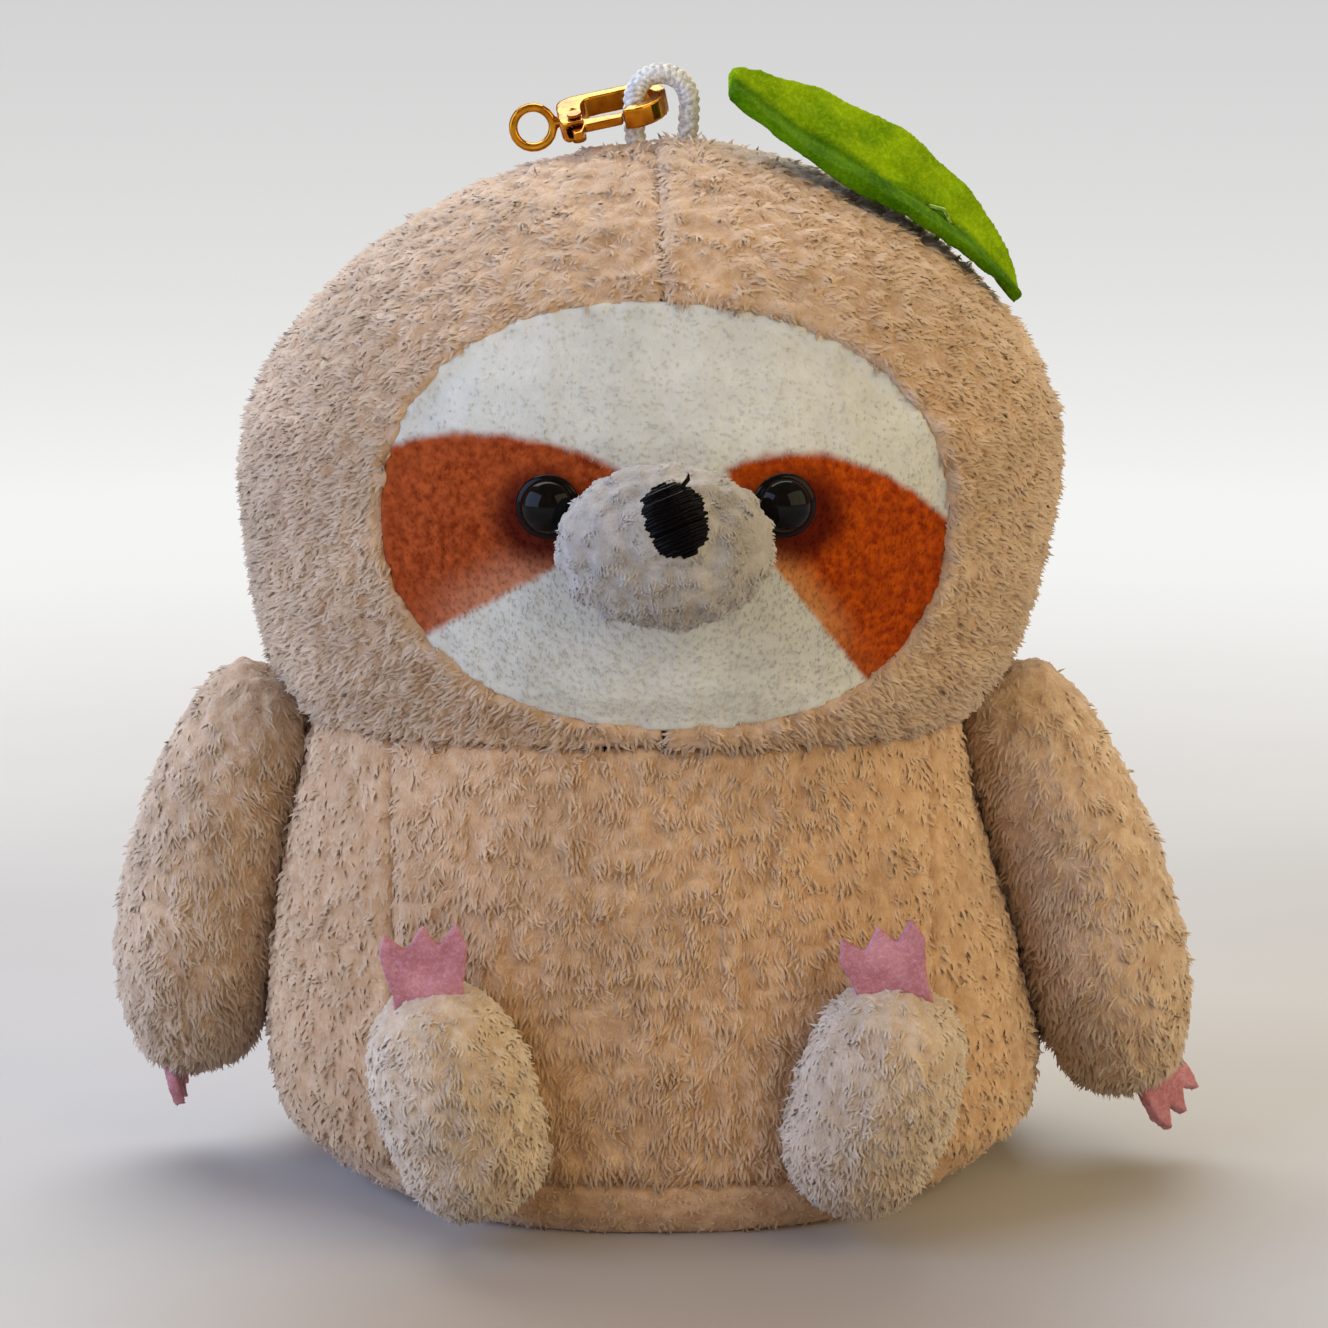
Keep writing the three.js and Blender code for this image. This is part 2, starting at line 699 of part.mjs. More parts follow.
function tackThread(grow = 0) {
  const middle = leafPoint(LEAF_TACK_SHARE, 0);
  const normal = leafNormal(LEAF_TACK_SHARE, 0);
  const next = leafPoint(LEAF_TACK_SHARE + TACK_STITCH / LEAF_WIDTH / 2, 0).sub(middle).normalize();
  const high = FELT + GAP + THREAD / 2;
  const half = TACK_HALF_SHARES.map(([way, rise]) => [way * TACK_STITCH, rise * high]);
  half.unshift([half[0][0], -TACK_DEPTH]);
  const otherHalf = half.toReversed().map(([way, rise]) => [-way, rise]);
  const route = [...half, [0, high], ...otherHalf].map(([way, rise]) =>
    middle.clone().addScaledVector(next, way).addScaledVector(normal, rise),
  );
  const curve = new THREE.CatmullRomCurve3(route);
  return tube(curve, THREAD + grow * 2, THREAD_STEPS * 2, THREAD_SIDES);
}

// Claws: a felt sheet in the XY plane with its root below zero and its points up Y

function clawSolid(length, grow = 0) {
  const root = CLAW_OUTLINE_SHARES[0][0] * CLAW_WIDTH + grow;
  const corners = CLAW_OUTLINE_SHARES.map(
    ([side, way]) => new THREE.Vector2(side * (CLAW_WIDTH + grow * 2), way * (length + grow)),
  );
  corners.unshift(new THREE.Vector2(root, -CLAW_ROOT - grow));
  corners.push(new THREE.Vector2(-root, -CLAW_ROOT - grow));
  const options = { depth: FELT + grow * 2, bevelEnabled: false };
  const sheet = new THREE.ExtrudeGeometry(new THREE.Shape(corners), options);
  return solidOf(sheet.translate(0, 0, -FELT / 2 - grow));
}

// A matrix that stands a claw on a place, its points along one way and its face another
function clawMatrix(place, points, face) {
  const normal = face.clone().addScaledVector(points, -face.dot(points)).normalize();
  const across = new THREE.Vector3().crossVectors(points, normal);
  return new THREE.Matrix4().makeBasis(across, points, normal).setPosition(place);
}

// Head

const eyeCuts = Object.keys(SIDES).map((side) => moved(eyeShape(GAP), eyeMatrix(side)));
const washerCuts = Object.keys(SIDES).map((side) => moved(washerShape(GAP), eyeMatrix(side)));

function facePrism(grow) {
  const shape = new THREE.Shape(
    Array.from({ length: FACE_POINTS }, (_, step) => {
      const angle = (TURN * step) / FACE_POINTS;
      const wide = (FACE_WIDTH / 2 + grow) * rounded(Math.cos(angle), true);
      const high = (FACE_HEIGHT / 2 + grow) * rounded(Math.sin(angle), true);
      return new THREE.Vector2(wide, high);
    }),
  );
  const prism = new THREE.ExtrudeGeometry(shape, { depth: HEAD_DEPTH, bevelEnabled: false });
  prism.rotateZ(-radians(FACE_LEAN_DEG));
  prism.rotateX(TURN / 4);
  return solidOf(prism.translate(FACE_ASIDE, 0, onHead(FACE_MIDDLE_SHARE)));
}

function addHead() {
  const hood = cut(
    stuffed(head),
    stuffed(head, PLUSH, "inner", { start: OVERRUN }),
    facePrism(GAP),
    cordLoop(GAP),
    tackThread(GAP),
  );
  addPiece("hood_left", hood.intersect(halfSpace("x", -GAP / 2, -1)), beigePlush);
  addPiece("hood_right", hood.intersect(halfSpace("x", GAP / 2, 1)), beigePlush);

  const faceSkin = cut(
    stuffed(head, FACE_RECESS),
    stuffed(head, FACE_RECESS + SHORT_PLUSH, "inner", { start: OVERRUN }),
    eyeCuts,
  );
  addPiece("face_panel", faceSkin.intersect(facePrism(0)), whitePlush);

  const behind = stuffed(head, FACE_RECESS - GAP);
  const muzzleCover = cut(
    stuffed(muzzle),
    stuffed(muzzle, SHORT_PLUSH, "inner", { start: OVERRUN }),
    behind,
    eyeCuts,
  );
  addPiece("muzzle_cover", muzzleCover, greyPlush);
  const muzzleFilling = cut(stuffed(muzzle, SHORT_PLUSH + GAP, "inner"), behind, eyeCuts);
  addPiece("muzzle_filling", muzzleFilling, wadding);

  const filling = cut(
    stuffed(head, FACE_RECESS + SHORT_PLUSH + GAP, "inner"),
    eyeCuts,
    washerCuts,
    cordLoop(GAP),
    tackThread(GAP),
  );
  addPiece("head_filling", filling, wadding);
}

function addEyes() {
  for (const side of Object.keys(SIDES)) {
    const matrix = eyeMatrix(side);
    addPiece(`eye_${side}`, eyeShape(), blackPlastic).applyMatrix4(matrix);
    addPiece(`eye_washer_${side}`, washerShape(), clearPlastic).applyMatrix4(matrix);
  }
}

// Nose: satin stitches side by side over a small pad of the same thread

function addNose() {
  const outward = at(0, -Math.cos(radians(NOSE_LIFT_DEG)), Math.sin(radians(NOSE_LIFT_DEG)));
  const upward = new THREE.Vector3().crossVectors(RIGHT, outward).negate();
  const middle = muzzleBase
    .clone()
    .addScaledVector(RIGHT, NOSE_ASIDE)
    .addScaledVector(UP, NOSE_ABOVE)
    .addScaledVector(outward, MUZZLE_REACH + NOSE_PROUD);
  const pad = new THREE.SphereGeometry(1, SMALL_ROUND, SMALL_ROUND / 2);
  pad.scale(NOSE_WIDTH / 2 - NOSE_THREAD / 4, NOSE_THREAD, NOSE_HEIGHT / 2 - NOSE_THREAD / 4);
  pad.rotateX(-radians(NOSE_LIFT_DEG));
  let nose = solidOf(pad.translate(...middle));
  for (let strand = 0; strand < NOSE_STRANDS; strand++) {
    const share = (2 * (strand + 0.5)) / NOSE_STRANDS - 1;
    const half = (NOSE_HEIGHT / 2) * Math.sqrt(1 - share ** 2);
    const points = Array.from({ length: THREAD_STEPS + 1 }, (_, step) => {
      const way = (2 * step) / THREAD_STEPS - 1;
      const swell = Math.sqrt((1 - share ** 2) * (1 - way ** 2));
      return middle
        .clone()
        .addScaledVector(RIGHT, (share * (NOSE_WIDTH - NOSE_THREAD)) / 2)
        .addScaledVector(upward, way * half)
        .addScaledVector(outward, NOSE_THREAD * (swell - NOSE_SINK_SHARE));
    });
    const curve = new THREE.CatmullRomCurve3(points);
    nose = nose.add(tube(curve, NOSE_THREAD, THREAD_STEPS, THREAD_SIDES));
  }
  addPiece("nose_stitching", cut(nose, stuffed(muzzle, -GAP / 2)), blackThread);
}

// Body

function addBody() {
  const shell = cut(stuffed(body), stuffed(body, PLUSH, "inner", { end: OVERRUN }));
  const base = shell.intersect(halfSpace("z", BASE_SEAM - GAP / 2, -1));
  const upper = shell.intersect(halfSpace("z", BASE_SEAM + GAP / 2, 1));
  const panel = (grow) =>
    box(
      at(-FRONT_PANEL_WIDTH / 2 - grow, -BODY_DEPTH, -OVERRUN),
      at(FRONT_PANEL_WIDTH / 2 + grow, 0, NECK_HEIGHT + OVERRUN),
    );
  addPiece("body_front_panel", upper.intersect(panel(0)), beigePlush);
  addPiece("body_back_panel", cut(upper, panel(GAP)), beigePlush);
  addPiece("base_panel", base, beigePlush);
  addPiece("pellet_bag", stuffed(pelletBag), calico);
  const pocket = stuffed(pelletBag, -GAP, "outer", { start: OVERRUN });
  addPiece("body_filling", cut(stuffed(body, PLUSH + GAP, "inner"), pocket), wadding);
}

// Arms and legs

// The space that the head and body take from a limb at every angle of its joint
function keptClear(grow, pivot, axis, lift) {
  const whole = stuffed(head, -grow, "outer", { start: OVERRUN }).add(
    stuffed(body, -grow, "outer", { start: OVERRUN, end: OVERRUN }),
  );
  return Array.from({ length: LIFT_STEPS + 1 }, (_, step) =>
    moved(whole, turnedAbout(pivot, axis, (-lift * step) / LIFT_STEPS)),
  );
}

function addLimb(name, form, { pivot, axis, lift, seam }, clawCut, material) {
  const clear = (grow) => keptClear(grow, pivot, axis, lift);
  const root = form.spine.getPointAt(LIMB_MOUTH_SHARE);
  const mouth = bar(root, seam, LIMB_MOUTH, SMALL_ROUND);
  const hollow = cut(stuffed(form, PLUSH, "inner"), clear(GAP + PLUSH)).add(mouth);
  addPiece(`${name}_cover`, cut(stuffed(form), clear(GAP), hollow, clawCut), material);
  const filling = cut(stuffed(form, PLUSH + GAP, "inner"), clear(GAP * 2 + PLUSH), clawCut);
  addPiece(`${name}_filling`, filling, wadding);
}

function addArms() {
  for (const [side, out] of Object.entries(SIDES)) {
    const form = limb(armSpine(side), ARM_WIDTH, ARM_DEPTH, ARM_OUTLINE_SHARES);
    const hand = form.spine.getPointAt(1);
    const place = hand.add(at(out * HAND_CLAW_OUTWARD[side], 0, HAND_CLAW_SET));
    const points = UP.clone().negate().applyAxisAngle(FRONT, radians(HAND_CLAW_TILT_DEG[side]));
    const face = RIGHT.clone().applyAxisAngle(UP, -radians(HAND_CLAW_TURN_DEG[side]));
    const matrix = clawMatrix(place, points, face);
    const joint = {
      pivot: shoulderPivot(side),
      axis: FRONT,
      lift: radians(ARM_LIFT_DEG) * out,
      seam: at(0, 0, form.spine.getPointAt(LIMB_MOUTH_SHARE).z),
    };
    const clawCut = moved(clawSolid(HAND_CLAW_LENGTH, GAP), matrix);
    addLimb(`arm_${side}`, form, joint, clawCut, beigePlush);
    addPiece(`hand_claws_${side}`, clawSolid(HAND_CLAW_LENGTH), pinkFelt).applyMatrix4(matrix);
  }
}

function addLegs() {
  for (const [side, out] of Object.entries(SIDES)) {
    const form = limb(legSpine(side), LEG_WIDTH, LEG_DEPTH, LEG_OUTLINE_SHARES);
    const toe = form.spine.getPointAt(1).addScaledVector(RIGHT, -out * FOOT_CLAW_INWARD[side]);
    const points = UP.clone().applyAxisAngle(FRONT, radians(FOOT_CLAW_LEAN_DEG[side]));
    const matrix = clawMatrix(toe, points, FRONT);
    const root = form.spine.getPointAt(LIMB_MOUTH_SHARE);
    const joint = {
      pivot: heelPivot(side),
      axis: RIGHT,
      lift: radians(LEG_LIFT_DEG),
      seam: at(root.x, 0, root.z),
    };
    const clawCut = moved(clawSolid(FOOT_CLAW_LENGTH, GAP), matrix);
    addLimb(`leg_${side}`, form, joint, clawCut, creamPlush);
    addPiece(`foot_claws_${side}`, clawSolid(FOOT_CLAW_LENGTH), pinkFelt).applyMatrix4(matrix);
  }
}

// Leaf and cord

function addLeafAndCord() {
  addPiece("leaf", cut(leafSolid(), tackThread(GAP)), greenFelt);
  addPiece("leaf_thread", tackThread(), greenThread);
  addPiece("cord_loop", cordLoop(), whiteCord);
}

// Lobster clasp

const hookInner = CORD_DIAMETER / 2 + GAP + HOOK_ROOM;
const hookOuter = hookInner + HOOK_THICKNESS;
const hookEnd = -radians(HOOK_END_DEG);
const swivelMiddle = CLASP_LENGTH + CLASP_PLAY + SWIVEL_DIAMETER / 2;

function claspSheet(shape, thickness) {
  const options = { depth: thickness, bevelEnabled: false, curveSegments: SMALL_ROUND / 2 };
  return solidOf(new THREE.ExtrudeGeometry(shape, options).translate(0, 0, -thickness / 2));
}

function claspPost(grow = 0) {
  const neckInside = -CLASP_LENGTH + NECK_WALL;
  const stem = POST_DIAMETER / 2 + grow;
  const cap = POST_HEAD_DIAMETER / 2 + grow;
  const profile = [
    [0, -swivelMiddle + SWIVEL_BORE / 2 + (SWIVEL_DIAMETER - SWIVEL_BORE) / 4],
    [stem, -swivelMiddle + SWIVEL_BORE / 2 + (SWIVEL_DIAMETER - SWIVEL_BORE) / 4],
    [stem, neckInside + CLASP_PLAY - grow],
    [cap, neckInside + CLASP_PLAY - grow],
    [cap, neckInside + CLASP_PLAY + POST_HEAD + grow],
    [0, neckInside + CLASP_PLAY + POST_HEAD + grow],
  ];
  return moved(turned(profile, SMALL_ROUND), new THREE.Matrix4().makeRotationZ(-TURN / 4));
}

function claspBody() {
  const back = CLASP_LENGTH;
  const neck = NECK_DIAMETER / 2;
  const shape = new THREE.Shape();
  shape.moveTo(-back, neck);
  shape.quadraticCurveTo(-back, hookOuter, -MOUTH_LENGTH - HOOK_THICKNESS, hookOuter);
  shape.lineTo(0, hookOuter);
  shape.absarc(0, 0, hookOuter, TURN / 4, hookEnd, true);
  shape.lineTo(hookInner * Math.cos(hookEnd), hookInner * Math.sin(hookEnd));
  shape.absarc(0, 0, hookInner, hookEnd, TURN / 4, false);
  shape.lineTo(-MOUTH_LENGTH, hookInner);
  shape.quadraticCurveTo(-MOUTH_LENGTH - HOOK_THICKNESS, hookInner, -MOUTH_LENGTH - HOOK_THICKNESS, 0);
  shape.lineTo(-MOUTH_LENGTH - HOOK_THICKNESS, -hookOuter);
  shape.lineTo(-GATE_PIVOT_BACK - GATE_ROOT, -hookOuter);
  shape.quadraticCurveTo(-back, -hookOuter, -back, -neck);
  const slotHalf = GATE_THICKNESS / 2 + CLASP_PLAY;
  const slot = box(
    at(-GATE_PIVOT_BACK - GATE_ROOT - CLASP_PLAY, -hookOuter - OVERRUN, -slotHalf),
    at(-MOUTH_LENGTH, -SLOT_SIDE, slotHalf),
  );
  return cut(claspSheet(shape, CLASP_THICKNESS), slot, claspPost(CLASP_PLAY), gatePin(CLASP_PLAY));
}

function gatePin(grow = 0) {
  const half = CLASP_THICKNESS / 2;
  const shank = PIN_DIAMETER / 2 + grow;
  const profile = [
    [0, -half - PIN_HEAD - CLASP_PLAY],
    [shank + PIN_HEAD, -half - PIN_HEAD - CLASP_PLAY],
    [shank + PIN_HEAD, -half - CLASP_PLAY + grow / 2],
    [shank, -half - CLASP_PLAY + grow / 2],
    [shank, half + CLASP_PLAY - grow / 2],
    [shank + PIN_HEAD, half + CLASP_PLAY - grow / 2],
    [shank + PIN_HEAD, half + PIN_HEAD + CLASP_PLAY],
    [0, half + PIN_HEAD + CLASP_PLAY],
  ];
  const stand = new THREE.Matrix4().makeRotationX(TURN / 4);
  stand.setPosition(-GATE_PIVOT_BACK, -GATE_PIVOT_SIDE, 0);
  return moved(turned(profile, SMALL_ROUND), stand);
}

function claspGate() {
  const tip = hookInner * Math.cos(hookEnd) - CLASP_PLAY * 2;
  const low = -hookOuter + CLASP_PLAY;
  const shape = new THREE.Shape();
  shape.moveTo(-GATE_PIVOT_BACK, -GATE_PIVOT_SIDE + GATE_ROOT);
  shape.lineTo(tip, low + GATE_WIDTH);
  shape.lineTo(tip - CLASP_PLAY * 2, low);
  shape.lineTo(-GATE_PIVOT_BACK + GATE_ROOT, low);
  shape.lineTo(-GATE_PIVOT_BACK + GATE_ROOT / 2, low - LEVER_REACH);
  shape.lineTo(-GATE_PIVOT_BACK - GATE_ROOT / 2, low - LEVER_REACH);
  shape.lineTo(-GATE_PIVOT_BACK - GATE_ROOT, -GATE_PIVOT_SIDE);
  shape.absarc(-GATE_PIVOT_BACK, -GATE_PIVOT_SIDE, GATE_ROOT, TURN / 2, TURN / 4, true);
  return cut(claspSheet(shape, GATE_THICKNESS), gatePin(CLASP_PLAY));
}

function gateSpring() {
  const top = -SLOT_SIDE - CLASP_PLAY;
  const left = -GATE_PIVOT_BACK - GATE_ROOT;
  const right = -GATE_PIVOT_BACK + GATE_ROOT / 2;
  const middle = (left + right) / 2;
  const bow = SPRING_THICKNESS / 2;
  const ends = top - bow - SPRING_THICKNESS;
  const shape = new THREE.Shape();
  shape.moveTo(left, top - bow);
  shape.quadraticCurveTo(middle, top + bow, right, top - bow);
  shape.lineTo(right, ends);
  shape.quadraticCurveTo(middle, top + bow - SPRING_THICKNESS, left, ends);
  return claspSheet(shape, GATE_THICKNESS - CLASP_PLAY);
}

function swivelEye() {
  const ring = new THREE.Shape().absarc(0, 0, SWIVEL_DIAMETER / 2, 0, TURN);
  ring.holes.push(new THREE.Path().absarc(0, 0, SWIVEL_BORE / 2, 0, TURN));
  const edge = SWIVEL_THICKNESS / 4;
  const options = {
    depth: SWIVEL_THICKNESS - edge * 2,
    bevelThickness: edge,
    bevelSize: edge / 2,
    bevelOffset: -edge / 2,
    bevelSegments: 1,
    curveSegments: ROUND / 2,
  };
  const band = new THREE.ExtrudeGeometry(ring, options);
  band.translate(-swivelMiddle, 0, edge - SWIVEL_THICKNESS / 2);
  return solidOf(band).add(claspPost());
}

function addClasp() {
  const clasp = new THREE.Group();
  clasp.rotation.order = "YXZ";
  clasp.rotation.y = -radians(CLASP_SLOPE_DEG);
  clasp.rotation.x = radians(CLASP_TILT_DEG);
  clasp.position.set(LOOP_ASIDE - LOOP_SPAN / 2, 0, crown + CLASP_RISE);
  addPiece("clasp_body", claspBody(), gold, clasp);
  addPiece("clasp_gate", claspGate(), gold, clasp);
  addPiece("gate_pin", gatePin(), gold, clasp);
  addPiece("gate_spring", gateSpring(), steel, clasp);
  addPiece("swivel_eye", swivelEye(), gold, clasp).rotation.x = radians(SWIVEL_TURN_DEG);
  sloth.add(clasp);
}

addHead();
addEyes();
addNose();
addBody();
addArms();
addLegs();
addLeafAndCord();
addClasp();

export default sloth;
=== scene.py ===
import json
import math
import random

import bmesh
import bpy
from mathutils import Matrix, Vector
from mathutils.bvhtree import BVHTree

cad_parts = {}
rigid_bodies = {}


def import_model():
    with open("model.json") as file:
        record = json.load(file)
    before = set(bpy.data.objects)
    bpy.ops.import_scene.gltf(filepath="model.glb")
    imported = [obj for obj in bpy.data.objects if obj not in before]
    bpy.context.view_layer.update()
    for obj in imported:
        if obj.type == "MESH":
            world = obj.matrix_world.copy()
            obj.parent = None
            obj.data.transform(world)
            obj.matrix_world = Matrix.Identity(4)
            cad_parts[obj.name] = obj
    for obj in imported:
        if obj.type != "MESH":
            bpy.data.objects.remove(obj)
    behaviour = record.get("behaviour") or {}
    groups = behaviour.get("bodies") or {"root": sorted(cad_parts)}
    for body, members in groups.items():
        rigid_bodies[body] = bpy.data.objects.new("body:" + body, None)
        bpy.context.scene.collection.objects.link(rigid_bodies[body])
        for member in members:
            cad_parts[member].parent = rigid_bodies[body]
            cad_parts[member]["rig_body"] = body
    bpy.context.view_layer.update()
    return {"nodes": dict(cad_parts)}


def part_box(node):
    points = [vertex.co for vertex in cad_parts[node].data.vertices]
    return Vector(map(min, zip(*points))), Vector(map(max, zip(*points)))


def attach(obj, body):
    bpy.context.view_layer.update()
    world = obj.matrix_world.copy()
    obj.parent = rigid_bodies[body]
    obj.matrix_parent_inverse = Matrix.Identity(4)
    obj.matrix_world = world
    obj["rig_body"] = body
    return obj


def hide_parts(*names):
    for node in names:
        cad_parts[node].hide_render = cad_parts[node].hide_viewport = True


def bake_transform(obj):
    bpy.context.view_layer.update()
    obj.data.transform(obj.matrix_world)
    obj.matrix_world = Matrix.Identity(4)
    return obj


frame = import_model()

# Plush sloth that hangs by a cord loop and a lobster clasp, with a felt leaf on its head.
# Lengths are in metres, and most are written as a number of millimetres times MM.

MM = 0.001
SCENE = bpy.context.scene
SIDES = {"left": -1, "right": 1}
WELD = 0.001 * MM

# Camera, worked out from the outline of the head, body and eyes

PICTURE = 1328
TARGET = Vector((0, 0, 50 * MM))
CAMERA_AWAY = 380 * MM
CAMERA_RISE = math.radians(9)
CAMERA_TURN = math.radians(-1.5)
FOCAL_PIXELS = 4144
TARGET_PIXEL = (657, 620.9)
SENSOR = 36

# Plush

COARSE = 1.0 * MM  # grain of the stuffed skins before they swell
FINE = 0.65 * MM  # grain of the flat panels and of the hood, which has sharp corners
REACH = 0.6 * MM  # a skin this near to a neighbour has no pile
LOOK_FROM = 0.3  # millimetres outside itself from which a skin looks for its neighbours
HALF_SET = 0.15 * MM  # from the middle to the cut side of half a filling
FACES_DOWN = -0.8  # a skin whose normal points down by more lies flat on the floor
FIBRE_RADIUS = 0.125 * MM
FIBRE_ARCH = 0.07 * MM  # how far the middle of a matted tuft stands off
FIBRE_FULLNESS = 0.6  # how far the sides of a tuft bulge at its middle
SOFTNESS = 3.5  # how much a tuft is lit like the skin under it
FRAMES = 20
PRESSURE = 4
SWELL = 0.7 * MM  # the most that a skin moves as it is filled
SLACK = SWELL * 0.2  # how far a loose skin is drawn in before it is filled


def tone(red, green, blue):
    """A colour as it looks on screen, from 0 to 255, as the linear colour that a socket takes."""
    shares = [value / 255 for value in (red, green, blue)]
    return (*[s / 12.92 if s <= 0.04045 else ((s + 0.055) / 1.055) ** 2.4 for s in shares], 1)


# Node helpers


def node(tree, kind, inputs=None, **settings):
    """Adds a node. An input is a plain value or the output of another node."""
    made = tree.nodes.new(kind)
    for name, value in settings.items():
        setattr(made, name, value)
    for socket, value in (inputs or {}).items():
        if isinstance(value, bpy.types.NodeSocket):
            tree.links.new(value, made.inputs[socket])
        else:
            made.inputs[socket].default_value = value
    return made


def sum_of(tree, operation, *values, clamp=False):
    return node(
        tree, "ShaderNodeMath", dict(enumerate(values)), operation=operation, use_clamp=clamp
    ).outputs[0]


def vectors(tree, operation, *values):
    made = node(tree, "ShaderNodeVectorMath", operation=operation)
    for socket, value in zip(made.inputs, values):
        if isinstance(value, bpy.types.NodeSocket):
            tree.links.new(value, socket)
        else:
            socket.default_value = value
    return made.outputs[0]


def scaled(tree, vector, scale):
    return node(
        tree, "ShaderNodeVectorMath", {0: vector, "Scale": scale}, operation="SCALE"
    ).outputs[0]


def blended(tree, share, first, second, way="MIX"):
    inputs = {0: share, 6: first, 7: second}
    return node(tree, "ShaderNodeMix", inputs, data_type="RGBA", blend_type=way).outputs[2]


def stretched(tree, value, low, high, to_low=0.0, to_high=1.0, smooth=False):
    inputs = {"Value": value, 1: low, 2: high, 3: to_low, 4: to_high}
    way = "SMOOTHSTEP" if smooth else "LINEAR"
    return node(tree, "ShaderNodeMapRange", inputs, interpolation_type=way).outputs[0]


def noise_at(tree, place, scale, detail=2.0, roughness=0.5):
    inputs = {"Vector": place, "Scale": scale, "Detail": detail, "Roughness": roughness}
    return node(tree, "ShaderNodeTexNoise", inputs).outputs[0]


def attribute(tree, name):
    return node(tree, "ShaderNodeAttribute", attribute_name=name)


def object_place(tree):
    return node(tree, "ShaderNodeTexCoord").outputs["Object"]


def vector_of(tree, *values):
    return node(tree, "ShaderNodeCombineXYZ", dict(enumerate(values))).outputs[0]


def parts_of(tree, vector):
    return node(tree, "ShaderNodeSeparateXYZ", {0: vector}).outputs


def distance(tree, first, second):
    inputs = {0: first, 1: second}
    return node(tree, "ShaderNodeVectorMath", inputs, operation="DISTANCE").outputs["Value"]


def add_relief(tree, strength, depth, height):
    """Fine relief of a material, which only the light shows."""
    inputs = {"Strength": strength, "Distance": depth, "Height": height}
    bump = node(tree, "ShaderNodeBump", inputs).outputs[0]
    tree.links.new(bump, tree.nodes["Principled BSDF"].inputs["Normal"])


def new_group(name, kind, given, result):
    """A node group. Each of its named inputs is a type, and its usual value if it has one."""
    group = bpy.data.node_groups.new(name, kind)
    for label, (socket, *usual) in given.items():
        made = group.interface.new_socket(label, in_out="INPUT", socket_type=socket)
        if usual:
            made.default_value = usual[0]
    for label, socket in result.items():
        group.interface.new_socket(label, in_out="OUTPUT", socket_type=socket)
    inputs = node(group, "NodeGroupInput").outputs
    outputs = node(group, "NodeGroupOutput").inputs
    return group, inputs, outputs


COLOUR, NUMBER, VECTOR = "NodeSocketColor", "NodeSocketFloat", "NodeSocketVector"
GEOMETRY, MATERIAL, COUNT = "NodeSocketGeometry", "NodeSocketMaterial", "NodeSocketInt"


def pile_tones():
    """Colours of a pile: painted shade at the roots and between the tufts, pale at the tips, and
    uneven from tuft to tuft.
    """
    given = {"Deep": (COLOUR,), "Pale": (COLOUR,), "Fleck": (NUMBER,)}
    group, inputs, outputs = new_group("pile tones", "ShaderNodeTree", given, {"Color": COLOUR})
    root = attribute(group, "root").outputs["Vector"]
    tip = attribute(group, "tip").outputs["Fac"]
    shade = attribute(group, "shade").outputs["Fac"]
    fleck = stretched(group, noise_at(group, root, inputs["Fleck"]), 0.35, 0.65)
    clump = stretched(group, noise_at(group, root, 600.0, 3.0, 0.6), 0.4, 0.62)
    patch = stretched(group, noise_at(group, root, 90.0), 0.35, 0.65, 0.88, 1.06)
    # Painted shade: the bare skin and the roots of the fibres take the Deep colour, paler towards the
    # tips.
    paleness = sum_of(group, "MULTIPLY_ADD", tip, 0.2, 0.12)
    paleness = sum_of(group, "MULTIPLY_ADD", shade, 0.3, paleness)
    paleness = sum_of(group, "MULTIPLY_ADD", clump, 0.25, paleness)
    paleness = sum_of(group, "MULTIPLY_ADD", fleck, 0.15, paleness, clamp=True)
    pile = blended(group, paleness, inputs["Deep"], inputs["Pale"])
    evened = blended(group, 1.0, pile, vector_of(group, patch, patch, patch), "MULTIPLY")
    group.links.new(evened, outputs["Color"])
    return group


def printed_patch():
    """Mask of one eye patch, with a curved top and a straight foot, that ends beside the nose."""
    given = {
        "Side": (NUMBER,),
        "Top": (NUMBER,),
        "Top Middle": (NUMBER,),
        "Top Bend": (NUMBER,),
        "Foot": (NUMBER,),
        "Foot Slope": (NUMBER,),
        "Inner": (NUMBER,),
    }
    result = {"Mask": NUMBER, "Above Foot": NUMBER}
    group, inputs, outputs = new_group("printed patch", "ShaderNodeTree", given, result)
    root = attribute(group, "root").outputs["Vector"]
    wobble = stretched(group, noise_at(group, root, 700.0), 0.0, 1.0, -0.45, 0.45)
    place = parts_of(group, scaled(group, root, 1 / MM))
    across = sum_of(group, "MULTIPLY", place[0], inputs["Side"])
    height = sum_of(group, "ADD", place[2], wobble)
    aside = sum_of(group, "ABSOLUTE", sum_of(group, "SUBTRACT", across, inputs["Top Middle"]))
    drop = sum_of(group, "MULTIPLY", sum_of(group, "POWER", aside, 2.0), inputs["Top Bend"])
    top = sum_of(group, "SUBTRACT", inputs["Top"], drop)
    foot = sum_of(group, "MULTIPLY_ADD", across, inputs["Foot Slope"], inputs["Foot"])
    under_top = sum_of(group, "SUBTRACT", top, height)
    above_foot = sum_of(group, "SUBTRACT", height, foot)
    outside_nose = sum_of(group, "SUBTRACT", across, inputs["Inner"])
    nearest = sum_of(group, "MINIMUM", under_top, above_foot)
    nearest = sum_of(group, "MINIMUM", nearest, outside_nose)
    mask = stretched(group, nearest, -PATCH_SOFT, PATCH_SOFT, smooth=True)
    group.links.new(mask, outputs["Mask"])
    group.links.new(above_foot, outputs["Above Foot"])
    return group


